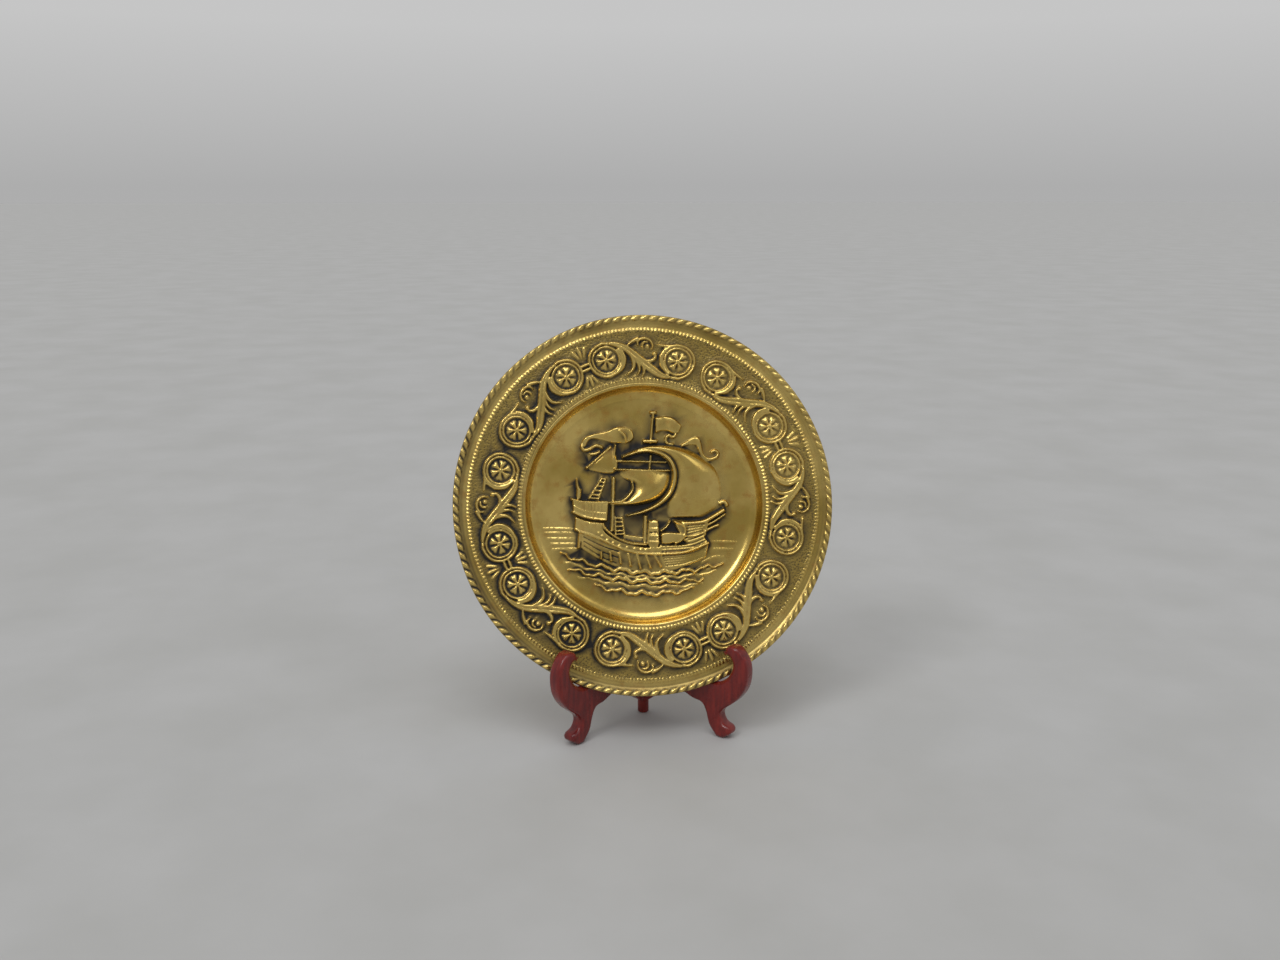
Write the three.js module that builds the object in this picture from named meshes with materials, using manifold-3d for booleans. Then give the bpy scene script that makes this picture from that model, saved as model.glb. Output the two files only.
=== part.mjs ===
// A round embossed brass plate with a galleon, standing in a folding wooden stand.
// Millimetres, +Z up. The plate faces -Y and leans back; +X is the viewer's right.
import * as THREE from "three";
import { mergeVertices } from "three/addons/utils/BufferGeometryUtils.js";
import Module from "manifold-3d";

const wasm = await Module();
wasm.setup();

// Plate: heights are measured from the front of the flat border ground
const SHEET = 1;
const WELL_RADIUS = 82;
const WELL_DEPTH = 12;
const CAVETTO_TOP_RADIUS = 93.4;
const CAVETTO_LIP = 0.6;
const BEAD_RADIUS = 98.3;
const TICK_RADIUS = 138;
const BEAD_HALF = 1.5;
const BEAD_HIGH = 0.9;
const COVE_RADIUS = 140;
const ROPE_FOOT_RADIUS = 146.4;
const ROPE_FOOT_HIGH = 1.9;
const ROPE_RADIUS = 148.3;
const ROPE_HIGH = 3.4;
const ROPE_DIP = 1.3;
const ROPE_LOBES = 126;
const PLATE_RADIUS = 150;
const EDGE_HIGH = 1.6;
const EDGE_THICK = 1.4;
const PLATE_SEGMENTS = 48;
const CAVETTO_STEPS = 3;

// Relief is sunk into the sheet by this much before it is joined to it
const SUNK_EDGE = 0.3;
const SUNK_BASE = 0.7;

// Pose of the plate in the stand
const LEAN = THREE.MathUtils.degToRad(16);
const TURN = THREE.MathUtils.degToRad(-5.8);
const PLATE_CENTRE_HEIGHT = 181.4;
const HINGE_BEHIND_CENTRE = 13.2;

// Border: eight cells, every second one mirrored
const CELLS = 8;
const CELL_START = THREE.MathUtils.degToRad(50.3);
const BORDER_RADIUS = 117;
const RING_OUTER = 12.9;
const RING_INNER = 11.6;
const RING_STEPS = 8;
const LEFT_RING = [-28.8, 115.9];
const RIGHT_RING = [28.8, 117.4];
const SCROLL_HALF = 1.9;
const SCROLL_HIGH = 2.0;
const STEM_HALF = 3.2;
const STEM_HIGH = 2.6;
const PETALS = 6;
const PETAL_TIP = 8.2;
const PETAL_GAP = 5.2;
const ROSETTE_HIGH = 1.8;
const CLASP_HALF_LENGTH = 4;

// Stand
const HALF_SPREAD = THREE.MathUtils.degToRad(48);
const LEAF_THICKNESS = 12;
const LEAF_ROUND = 3;
const KNUCKLE_RADIUS = 4.6;
const KNUCKLES = 3;
const HINGE_HEIGHT = 82;
const PIN_RADIUS = 1.5;
const PIN_FLOOR = 2;
const NOTCH_FLOOR = 46;
const SUPPORT_FOOT = 70.6;
const SUPPORT_TOP = 86;
const SUPPORT_SLOPE = Math.tan(LEAN) / Math.cos(HALF_SPREAD);
const GAP = 0.3;
const CUT_SIZE = 400;
const ROUND_STEPS = 12;

// Colours
const brass = new THREE.MeshStandardMaterial({ color: 0x8f7a3e, roughness: 0.42, metalness: 0.9 });
const lacquer = new THREE.MeshStandardMaterial({ color: 0x4a0f12, roughness: 0.25, metalness: 0 });
const steel = new THREE.MeshStandardMaterial({ color: 0x8d8a82, roughness: 0.4, metalness: 1 });

// Solids and meshes
function solid(vertices, triangles) {
  const vertProperties = new Float32Array(vertices.flat());
  const triVerts = new Uint32Array(triangles.flat());
  return new wasm.Manifold(new wasm.Mesh({ numProp: 3, vertProperties, triVerts }));
}

// The same, turned inside out where its faces point inward
function outward(vertices, triangles) {
  const body = solid(vertices, triangles);
  return body.volume() < 0 ? solid(vertices, triangles.map(([a, b, c]) => [a, c, b])) : body;
}

function solidOf(geometry) {
  geometry.deleteAttribute("normal");
  geometry.deleteAttribute("uv");
  const merged = mergeVertices(geometry, 1e-4);
  const vertProperties = new Float32Array(merged.attributes.position.array);
  const triVerts = new Uint32Array(merged.index.array);
  return new wasm.Manifold(new wasm.Mesh({ numProp: 3, vertProperties, triVerts }));
}

function meshOf(name, body, material) {
  const { vertProperties, triVerts } = body.getMesh();
  const geometry = new THREE.BufferGeometry();
  geometry.setAttribute("position", new THREE.BufferAttribute(new Float32Array(vertProperties), 3));
  geometry.setIndex(new THREE.BufferAttribute(new Uint32Array(triVerts), 1));
  geometry.computeVertexNormals();
  const mesh = new THREE.Mesh(geometry, material);
  mesh.name = name;
  return mesh;
}

// A spline through a few points, as a function of a share from 0 to 1
function through(points) {
  const curve = new THREE.SplineCurve(points.map(([u, v]) => new THREE.Vector2(u, v)));
  return (share) => curve.getPoint(share);
}

// A relief patch between two curves, standing on a flat level
// across lists [share from the first curve, share of the height]
function patch({ from, to, steps, level, high, across, along = () => 1 }) {
  const vertices = [];
  const triangles = [];
  const columns = across.length;
  const base = (steps + 1) * columns;
  for (let i = 0; i <= steps; i += 1) {
    const share = i / steps;
    const a = from(share);
    const b = to(share);
    for (const [side, rise] of across) {
      const p = a.clone().lerp(b, side);
      vertices.push([p.x, p.y, level - SUNK_EDGE + (high + SUNK_EDGE) * rise * along(share)]);
    }
  }
  for (let i = 0; i <= steps; i += 1) {
    const a = from(i / steps);
    const b = to(i / steps);
    vertices.push([a.x, a.y, level - SUNK_BASE]);
    vertices.push([b.x, b.y, level - SUNK_BASE]);
  }
  for (let i = 0; i < steps; i += 1) {
    const row = i * columns;
    const next = row + columns;
    for (let j = 0; j + 1 < columns; j += 1) {
      triangles.push([row + j, row + j + 1, next + j], [row + j + 1, next + j + 1, next + j]);
    }
    const low = base + 2 * i;
    triangles.push([low, low + 2, low + 1], [low + 1, low + 2, low + 3]);
    triangles.push([row, next, low], [next, low + 2, low]);
    const last = columns - 1;
    triangles.push([row + last, low + 1, next + last], [next + last, low + 1, low + 3]);
  }
  for (const [row, low, flip] of [[0, base, false], [steps * columns, base + 2 * steps, true]]) {
    const rim = [];
    for (let j = 0; j < columns; j += 1) rim.push(row + j);
    rim.push(low + 1);
    for (let j = 0; j + 1 < rim.length; j += 1) {
      triangles.push(flip ? [low, rim[j], rim[j + 1]] : [low, rim[j + 1], rim[j]]);
    }
  }
  return outward(vertices, triangles);
}

const RIDGE = [[0, 0], [0.5, 1], [1, 0]];
const PANEL = [[0, 0], [0.1, 1], [0.9, 1], [1, 0]];
const BELLY = [[0, 0], [0.14, 0.75], [0.5, 1], [0.86, 0.75], [1, 0]];

const swell = (share) => 0.25 + 0.75 * Math.sin(Math.PI * share);
const taper = (share) => 0.25 + 0.75 * (1 - share);

// A raised stroke along a path
function stroke({ path, half, steps, level, high, across = RIDGE, along = () => 1, width = () => 1 }) {
  const point = typeof path === "function" ? path : through(path);
  const edge = (side) => (share) => {
    const nudge = 0.002;
    const ahead = point(Math.min(1, share + nudge)).clone();
    const heading = ahead.sub(point(Math.max(0, share - nudge))).normalize();
    const reach = side * half * width(share);
    const p = point(share);
    return new THREE.Vector2(p.x - heading.y * reach, p.y + heading.x * reach);
  };
  return patch({ from: edge(-1), to: edge(1), steps, level, high, across, along });
}

// Dish: rings of points about the axis, with a rope-like outer edge
function ringPoints({ radius, height, count, lobe = 0 }) {
  const points = [];
  for (let i = 0; i < count; i += 1) {
    const angle = (2 * Math.PI * i) / count;
    const dip = i % 2 === 1 ? lobe : 0;
    points.push([radius * Math.cos(angle), radius * Math.sin(angle), height - dip]);
  }
  return points;
}

function revolve(rings, topHeight, bottomHeight) {
  const vertices = [[0, 0, topHeight]];
  const triangles = [];
  let previous = null;
  for (const ring of rings) {
    const start = vertices.length;
    vertices.push(...ringPoints(ring));
    const { count } = ring;
    if (previous === null) {
      for (let i = 0; i < count; i += 1) triangles.push([0, start + i, start + ((i + 1) % count)]);
    } else {
      let i = 0;
      let j = 0;
      while (i < previous.count || j < count) {
        const here = previous.start + (i % previous.count);
        const there = start + (j % count);
        if (j >= count || (i < previous.count && (i + 1) / previous.count <= (j + 1) / count)) {
          triangles.push([here, there, previous.start + ((i + 1) % previous.count)]);
          i += 1;
        } else {
          triangles.push([here, there, start + ((j + 1) % count)]);
          j += 1;
        }
      }
    }
    previous = { start, count };
  }
  const apex = vertices.length;
  vertices.push([0, 0, bottomHeight]);
  for (let i = 0; i < previous.count; i += 1) {
    triangles.push([previous.start + i, apex, previous.start + ((i + 1) % previous.count)]);
  }
  return solid(vertices, triangles);
}

function dish() {
  const ring = (radius, height) => ({ radius, height, count: PLATE_SEGMENTS });
  const rings = [ring(WELL_RADIUS, -WELL_DEPTH)];
  const reach = CAVETTO_TOP_RADIUS - WELL_RADIUS;
  for (let i = 1; i <= CAVETTO_STEPS; i += 1) {
    const angle = (Math.PI / 2) * (i / CAVETTO_STEPS);
    const height = -WELL_DEPTH * Math.cos(angle) - CAVETTO_LIP * Math.sin(angle);
    rings.push(ring(WELL_RADIUS + reach * Math.sin(angle), height));
  }
  for (const radius of [BEAD_RADIUS, TICK_RADIUS]) {
    rings.push(ring(radius - BEAD_HALF, 0));
    rings.push(ring(radius, BEAD_HIGH));
    rings.push(ring(radius + BEAD_HALF, 0));
  }
  rings.push(ring(ROPE_FOOT_RADIUS, ROPE_FOOT_HIGH));
  rings.push({ radius: ROPE_RADIUS, height: ROPE_HIGH, count: 2 * ROPE_LOBES, lobe: ROPE_DIP });
  rings.push(ring(PLATE_RADIUS, EDGE_HIGH));
  rings.push(ring(ROPE_RADIUS, EDGE_HIGH - EDGE_THICK));
  rings.push(ring(COVE_RADIUS + SHEET, -SHEET));
  for (let i = CAVETTO_STEPS; i >= 0; i -= 1) {
    const angle = (Math.PI / 2) * (i / CAVETTO_STEPS);
    const height = -(WELL_DEPTH + SHEET) * Math.cos(angle) - SHEET * Math.sin(angle);
    rings.push(ring(WELL_RADIUS + (reach + SHEET) * Math.sin(angle), height));
  }
  return revolve(rings, -WELL_DEPTH, -WELL_DEPTH - SHEET);
}

// Border cell: x runs clockwise along the border in millimetres, y is the radius
function cellPoint(cell, x, y) {
  const mirrored = cell % 2 === 1 ? -1 : 1;
  const angle = CELL_START - (cell * 2 * Math.PI) / CELLS - (mirrored * x) / BORDER_RADIUS;
  return new THREE.Vector2(y * Math.cos(angle), y * Math.sin(angle));
}

function onCell(cell, curve) {
  return (share) => {
    const p = curve(share);
    return cellPoint(cell, p.x, p.y);
  };
}

function spiral([x, y], start, end, radiusStart, radiusEnd, count) {
  const points = [];
  for (let i = 0; i <= count; i += 1) {
    const share = i / count;
    const angle = THREE.MathUtils.degToRad(start + (end - start) * share);
    const radius = radiusStart + (radiusEnd - radiusStart) * share;
    points.push([x + radius * Math.cos(angle), y + radius * Math.sin(angle)]);
  }
  return points;
}

// One S-shaped scroll: a ring, the slanting stem and the next ring
function scroll(cell) {
  const first = spiral(LEFT_RING, -65, 262, RING_INNER, RING_OUTER, RING_STEPS);
  const last = spiral(RIGHT_RING, 98, -215, RING_OUTER, RING_INNER, RING_STEPS);
  const stem = [[-15, 103.6], [0, 112.8], [13.5, 125]];
  const points = [...first, ...stem, ...last];
  const path = onCell(cell, through(points));
  const middle = (share) => Math.exp(-(((share - 0.5) / 0.09) ** 2));
  const width = (share) => 1 + (STEM_HALF / SCROLL_HALF - 1) * middle(share);
  const rise = (share) => (SCROLL_HIGH + (STEM_HIGH - SCROLL_HIGH) * middle(share)) / STEM_HIGH;
  return stroke({
    path, half: SCROLL_HALF, steps: points.length - 1, level: 0, high: STEM_HIGH, along: rise, width,
  });
}

// A low pyramid over a closed outline
function pyramid(outline, apex, level, high) {
  const count = outline.length;
  const vertices = outline.map((p) => [p.x, p.y, level - SUNK_EDGE]);
  vertices.push([apex.x, apex.y, level + high], [apex.x, apex.y, level - SUNK_BASE]);
  const triangles = [];
  for (let i = 0; i < count; i += 1) {
    const j = (i + 1) % count;
    triangles.push([i, j, count], [j, i, count + 1]);
  }
  return outward(vertices, triangles);
}

function rosette(cell, [x, y]) {
  const outline = [];
  for (let i = 0; i < 2 * PETALS; i += 1) {
    const angle = (Math.PI * i) / PETALS;
    const radius = i % 2 === 0 ? PETAL_TIP : PETAL_GAP;
    outline.push(cellPoint(cell, x + radius * Math.cos(angle), y + radius * Math.sin(angle)));
  }
  return pyramid(outline, cellPoint(cell, x, y), 0, ROSETTE_HIGH);
}

// Leaves, petals and clasps of one cell: foot, tip, half width and height
const BLADES = [
  { foot: [3, 116], tip: [-1, 101], half: 2, high: 2.3 },
  { foot: [6, 117.5], tip: [3.2, 104], half: 1.7, high: 2.1 },
  { foot: [9, 119], tip: [13.4, 103], half: 2.3, high: 2.3 },
  { foot: [-4.4, 127.4], tip: [1.4, 122.4], half: 2, high: 2 },
  { foot: [3, 131], tip: [12.6, 125], half: 2, high: 2.2 },
];
const CLASP_BLADES = [
  { foot: [-CLASP_HALF_LENGTH, 115.2], tip: [CLASP_HALF_LENGTH, 115.2], half: 1.5, high: 2.2 },
  { foot: [-CLASP_HALF_LENGTH, 119], tip: [CLASP_HALF_LENGTH, 119], half: 1.5, high: 2.2 },
  { foot: [0, 126], tip: [0, 133.5], half: 1.7, high: 1.4 },
  { foot: [0, 109.5], tip: [0, 102], half: 1.7, high: 1.4 },
];
const CURLS = [
  { path: [[0, 115], [-8, 114], [-9.6, 120.6]], half: 1.5, high: 1.9, steps: 3 },
  { path: [[-8.6, 123.6], [-7, 129], [-1, 131], [4.2, 126.4]], half: 1.6, high: 2.2, steps: 4 },
];

function blade(cell, { foot, tip, half, high }, shift = 0) {
  const start = new THREE.Vector2(foot[0] + shift, foot[1]);
  const end = new THREE.Vector2(tip[0] + shift, tip[1]);
  const middle = start.clone().lerp(end, 0.5);
  const heading = end.clone().sub(start).normalize().multiplyScalar(half);
  const left = new THREE.Vector2(middle.x - heading.y, middle.y + heading.x);
  const right = new THREE.Vector2(middle.x + heading.y, middle.y - heading.x);
  const outline = [start, right, end, left].map((p) => cellPoint(cell, p.x, p.y));
  return pyramid(outline, cellPoint(cell, middle.x, middle.y), 0, high);
}

function borderRelief() {
  const cellEnd = (Math.PI / CELLS) * BORDER_RADIUS;
  const bodies = [];
  for (let cell = 0; cell < CELLS; cell += 1) {
    bodies.push(scroll(cell));
    for (const ring of [LEFT_RING, RIGHT_RING]) bodies.push(rosette(cell, ring));
    for (const leaf of BLADES) bodies.push(blade(cell, leaf));
    for (const leaf of CLASP_BLADES) bodies.push(blade(cell, leaf, cellEnd));
    for (const curl of CURLS) {
      bodies.push(stroke({ ...curl, path: onCell(cell, through(curl.path)), level: 0, width: swell }));
    }
  }
  return bodies;
}

// Galleon: patches between two edges, heights above the floor of the well
const SAILS = [
  {
    from: [
      [-20, 36.8], [-4, 43], [10, 42.3], [19.5, 35.5], [23.5, 24], [22, 12], [19, 3], [20, -8.5],
    ],
    to: [
      [-20.5, 37.8], [-5, 45.2], [10, 48.4], [30, 47.2], [46, 40.5],
      [57, 31], [61.7, 17], [60, 4], [48, -6],
    ],
    high: 5.6, steps: 8, along: (share) => Math.min(1, 0.35 + 2.4 * share, 0.5 + 3 * (1 - share)),
    across: [[0, 0], [0.08, 0.8], [0.45, 1], [0.8, 0.75], [1, 0]],
  },
  {
    from: [[-24, 26], [-19, 20.6], [-11, 17], [-10, 11.5], [-13, 5.5], [-18, 1.2], [-28, -0.6]],
    to: [[18, 28], [19.8, 23], [18.6, 14.5], [14, 8], [6, 2.8], [-6, -0.5], [-27.5, -2.4]],
    high: 5, steps: 8, along: (share) => Math.min(1, 0.7 + share, 0.45 + 1.4 * (1 - share)), across: BELLY,
  },
  {
    from: [[-46.8, 25.6], [-38, 34.6], [-29.8, 43.6]],
    to: [[-46, 24.7], [-30, 22.6], [-23, 26], [-24, 35], [-27.5, 43.6]],
    high: 2.4, steps: 5, along: swell, across: PANEL,
  },
];

const HULL = [
  // side below the wale, down to the water
  {
    from: [[-48, -25.5], [-38, -27.5], [-16, -35], [0, -37], [18, -36.5], [36, -33], [54.5, -26]],
    to: [[-47, -38], [-31, -46.5], [-18, -51], [-3, -54], [12, -53.5], [28, -50.5], [52, -39]],
    high: 3, steps: 7, across: [[0, 0], [0.1, 1], [0.6, 0.85], [1, 0]],
  },
  // stern castle and the quarter below it
  {
    from: [[-57, 0.5], [-46.5, -0.8], [-29, 0]], to: [[-55, -11], [-45, -14.5], [-28.5, -15.4]],
    high: 4.4, steps: 3, across: PANEL,
  },
  {
    from: [[-53.5, -13], [-44, -15.6], [-32, -16]], to: [[-53, -24], [-44, -27], [-33, -30.5]],
    high: 3.2, steps: 3, across: PANEL,
  },
  // bulwark band between the waist and the wale
  {
    from: [[-32, -17.5], [-29, -24], [-19, -29.5], [-7, -32.5], [8, -33.5], [20, -31]],
    to: [[-37, -28.5], [-28, -32.5], [-18, -36], [-6, -38], [6, -38.6], [20, -38]],
    high: 3.2, steps: 6, across: PANEL,
  },
  // forecastle panel, bow side and lower bow
  {
    from: [[15.5, -21.5], [22, -20], [33.5, -20.5]], to: [[16.5, -30], [22, -30], [33, -26]],
    high: 4, steps: 3, across: PANEL,
  },
  {
    from: [[24, -10], [36, -9.8], [46, -9.3], [53, -6.5]],
    to: [[34.5, -27], [39, -28.5], [47, -26], [51.5, -20.5]],
    high: 3.2, steps: 4, across: PANEL,
  },
  {
    from: [[15, -30.5], [28, -29.8], [38, -28], [50, -22]],
    to: [[15, -37.5], [28, -36.5], [40, -33.5], [54, -27]],
    high: 3, steps: 4, across: PANEL,
  },
  // deck seen through the waist
  {
    from: [[-14, -24.5], [1, -25.5]], to: [[-14, -31], [1, -32.5]], high: 1.4, steps: 1, across: PANEL,
  },
  // ladder with a pointed foot
  {
    from: [[5.2, -12], [5, -30], [9.8, -34.5]], to: [[11.5, -11.5], [14.5, -30.5], [10.6, -34.5]],
    high: 3.4, steps: 4, across: PANEL,
  },
];

const FLAGS = [
  {
    from: [[4.5, 70.5], [10, 71.6], [16, 71.6], [21, 69.5], [25.5, 65.5]],
    to: [[5.5, 57.5], [10, 59.8], [15, 60], [19, 58.4], [23.5, 59.5]],
    high: 2.8, steps: 5, across: PANEL, along: (share) => 0.8 + 0.2 * Math.cos(10 * share),
  },
  {
    from: [[26.5, 50], [33, 54.5], [39, 57.4], [42.3, 53], [45, 44.2], [50, 41.2], [56, 43.5]],
    to: [[27, 48.4], [33, 50.6], [38.5, 50.4], [41, 46.5], [45, 40.4], [50, 38.8], [57.2, 42]],
    high: 2, steps: 6, across: PANEL,
  },
  {
    from: [
      [-12, 53], [-14.5, 59], [-22, 60.8], [-28, 59.5], [-35, 55.3], [-44, 52.8], [-51, 49], [-54, 42],
    ],
    to: [
      [-14, 50], [-18, 47.6], [-23, 47.3], [-28, 46.8], [-35, 48.6], [-42, 49.4], [-47, 48.4], [-50, 43],
    ],
    high: 2.3, steps: 6, across: PANEL,
  },
];

// Galleon strokes: path, half width, height above the floor, steps
const ROLLED_EDGES = [
  {
    path: [
      [-20, 36.3], [-4, 42.4], [10, 41.8], [19, 35.8], [22.9, 25],
      [20.5, 12], [12, 1.6], [0, -5.4], [-13, -9.8],
    ],
    half: 2.4, high: 6.2, steps: 10,
  },
  { path: [[-11, 17.6], [-9.8, 12], [-12.5, 6.3], [-18, 1.5], [-28, -0.4]], half: 1.4, high: 5, steps: 6 },
];

const SPARS = [
  { path: [[-48, 25.2], [-29.5, 44]], half: 1, high: 3.2, steps: 1 },
  { path: [[-25.5, 26.1], [19, 28.6]], half: 0.8, high: 5, steps: 1 },
  { path: [[-28.5, 32.8], [16, 35.2]], half: 0.8, high: 2, steps: 1 },
  { path: [[2.6, 27.6], [2.8, 40]], half: 0.9, high: 2.4, steps: 1 },
  { path: [[1.8, 49], [2.3, 74]], half: 1, high: 2.2, steps: 1 },
  { path: [[-4.5, 50.4], [7.2, 51.2]], half: 1.6, high: 2.8, steps: 1 },
  { path: [[-25.6, 20], [-23.6, -23]], half: 1.5, high: 2.6, steps: 1 },
  { path: [[2, -8.5], [3, -30]], half: 1.7, high: 3, steps: 1 },
  { path: [[33, -12.6], [48, -10.2], [56, -5.6], [65, 0.8]], half: 1.7, high: 4, steps: 4 },
  { path: [[49, -18.6], [55, -14.6], [61.5, -11.4]], half: 1.2, high: 3, steps: 2 },
  { path: [[60.5, 5.4], [64.5, 7.2], [67.5, 4]], half: 1.5, high: 2.2, steps: 3 },
  { path: [[-52, 0.6], [-52.2, 8.4]], half: 2, high: 2.6, steps: 1 },
  { path: [[-52.6, 8], [-54, 12], [-54.6, 16.4]], half: 1.5, high: 2.6, steps: 1, width: taper },
  { path: [[-49, -25], [-49, -38.5]], half: 1.2, high: 3, steps: 1 },
  {
    path: [[22, 58.4], [19.4, 55.6], [16, 56.9], [13.6, 53.6], [15.6, 50.2], [20.5, 50]],
    half: 1.2, high: 2, steps: 6,
  },
  { path: [[56, 42.8], [57, 45.6], [54.4, 47.6], [51, 46]], half: 1, high: 1.8, steps: 4 },
  { path: [[-53, 43], [-50.6, 39.6], [-46, 41], [-41.5, 44], [-36, 43]], half: 1.3, high: 2.2, steps: 6 },
];

const RAILS = [
  { path: [[-58, 0.2], [-46.5, -1.4], [-28.5, -0.2]], half: 1, high: 5.2, steps: 3 },
  { path: [[-56.5, -9.8], [-45.5, -13.6], [-29, -14.6]], half: 1, high: 5.2, steps: 3 },
  {
    path: [[-31.5, -17], [-29, -21.5], [-20, -27.6], [-8, -31.2], [5, -31.4]],
    half: 1.2, high: 4.6, steps: 5,
  },
  {
    path: [[-50, -25.2], [-38, -27.6], [-16, -35.8], [0, -38.6], [18, -38], [36, -35], [54.5, -26.4]],
    half: 1.1, high: 4.2, steps: 8,
  },
  { path: [[22, -11], [19.4, -16], [14.8, -20]], half: 0.9, high: 3.6, steps: 2 },
  {
    path: [[25, -11.4], [33.4, -14.8], [34.6, -20], [32.6, -25.4], [27, -29]],
    half: 1.1, high: 4.6, steps: 5,
  },
];

// Seven oars fan out from the wale to the water
const OARS = 7;
const OAR = { half: 0.9, high: 3.8, top: -39.6, firstX: -31, pitch: 7.1, slant: 0.9, reach: 11.5 };

// Wave crests: a shallow bowl, risen by bowl at this reach from the middle, with ripples along it
const WAVE_REACH = 60;
const WAVES = [
  { from: -63, to: 67, low: -53.6, bowl: 9.2, ripple: 1.3, length: 16.5, half: 1.5, high: 1.8, steps: 12 },
  { from: -56, to: 52, low: -60.6, bowl: 6.5, ripple: 1.3, length: 17.5, half: 1.5, high: 1.6, steps: 9 },
  { from: -34, to: 45, low: -70.4, bowl: 12, ripple: 1.3, length: 18.5, half: 1.4, high: 1.4, steps: 7 },
];

function galleon() {
  const level = -WELL_DEPTH;
  const bodies = [];
  for (const part of [...SAILS, ...HULL, ...FLAGS]) {
    bodies.push(patch({ ...part, from: through(part.from), to: through(part.to), level }));
  }
  for (const part of ROLLED_EDGES) bodies.push(stroke({ ...part, level, width: swell }));
  for (const part of [...SPARS, ...RAILS]) bodies.push(stroke({ ...part, level }));
  for (let i = 0; i < OARS; i += 1) {
    const x = OAR.firstX + i * OAR.pitch;
    const foot = [x + 0.4 + i * OAR.slant, OAR.top - OAR.reach + Math.abs(i - 4) * 1.4];
    bodies.push(stroke({ path: [[x, OAR.top], foot], half: OAR.half, high: OAR.high, steps: 1, level }));
  }
  for (const wave of WAVES) {
    const crest = (share) => {
      const x = wave.from + (wave.to - wave.from) * share;
      const bowl = wave.bowl * (x / WAVE_REACH) ** 2;
      const ripple = wave.ripple * Math.sin((2 * Math.PI * x) / wave.length);
      return new THREE.Vector2(x, wave.low + bowl + ripple);
    };
    bodies.push(stroke({ ...wave, path: crest, level, width: swell }));
  }
  return bodies;
}

// The pressed sheet is hollow behind the big sails and the hull
function hollows() {
  const level = -WELL_DEPTH - SHEET;
  const inset = 0.1;
  return [SAILS[0], SAILS[1], HULL[0]].map((part) => {
    const a = through(part.from);
    const b = through(part.to);
    const within = (share) => inset + (1 - 2 * inset) * share;
    const from = (share) => a(within(share)).clone().lerp(b(within(share)), inset);
    const to = (share) => b(within(share)).clone().lerp(a(within(share)), inset);
    return patch({ ...part, from, to, level, steps: 5, across: BELLY, high: part.high - 1.6 });
  });
}

function plate() {
  const relief = wasm.Manifold.union([dish(), ...borderRelief(), ...galleon()]);
  const mesh = meshOf("plate", relief.subtract(wasm.Manifold.union(hollows())), brass);
  mesh.position.set(0, -HINGE_BEHIND_CENTRE, PLATE_CENTRE_HEIGHT);
  mesh.rotation.set(Math.PI / 2 - LEAN, 0, TURN);
  return mesh;
}

// Outline of one leaf: x is the distance from the hinge, y the height
const REAR_EDGE = -1;
const REAR_FOOT_HIGH = 9.5;
const TOE_FLAT_END = 81;
const ARCH = [
  [4.5, 12.4], [10.4, 16.7], [18, 23.4], [27, 28.5], [40, 30.5],
  [52, 26.8], [60.6, 25.2], [64.6, 19], [68, 8.5], [75, 0],
];
const TOE_AND_HOOK = [
  [87.4, 5], [86.2, 9.8], [79.4, 13.4], [78.6, 22], [93, 35],
  [102.2, 48], [103, 64.5], [94, 77.2], [84, 77.8], [80.6, 71.4],
];
const THROAT = [
  [85.6, 70.2], [89.2, 65.5], [90, 60], [88.4, 55.4], [85, 52.2],
  [81, 49.3], [77.5, 47.1], [74, NOTCH_FLOOR],
];
const ARM_TOP = [[46, 92], [30, 89], [12, 84], [REAR_EDGE, HINGE_HEIGHT]];

function leafOutline() {
  const points = (list) => list.map(([x, y]) => new THREE.Vector2(x, y));
  const shape = new THREE.Shape();
  shape.moveTo(REAR_EDGE, REAR_FOOT_HIGH);
  shape.splineThru(points(ARCH));
  shape.lineTo(TOE_FLAT_END, 0);
  shape.splineThru(points(TOE_AND_HOOK));
  shape.splineThru(points(THROAT));
  shape.lineTo(SUPPORT_FOOT, NOTCH_FLOOR);
  shape.lineTo(SUPPORT_FOOT - (SUPPORT_TOP - NOTCH_FLOOR) * SUPPORT_SLOPE, SUPPORT_TOP);
  shape.splineThru(points(ARM_TOP));
  shape.closePath();
  return shape;
}

function upright(radius, bottom, top) {
  const geometry = new THREE.CylinderGeometry(radius, radius, top - bottom, ROUND_STEPS);
  geometry.rotateX(Math.PI / 2);
  geometry.translate(0, 0, (bottom + top) / 2);
  return solidOf(geometry);
}

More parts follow.
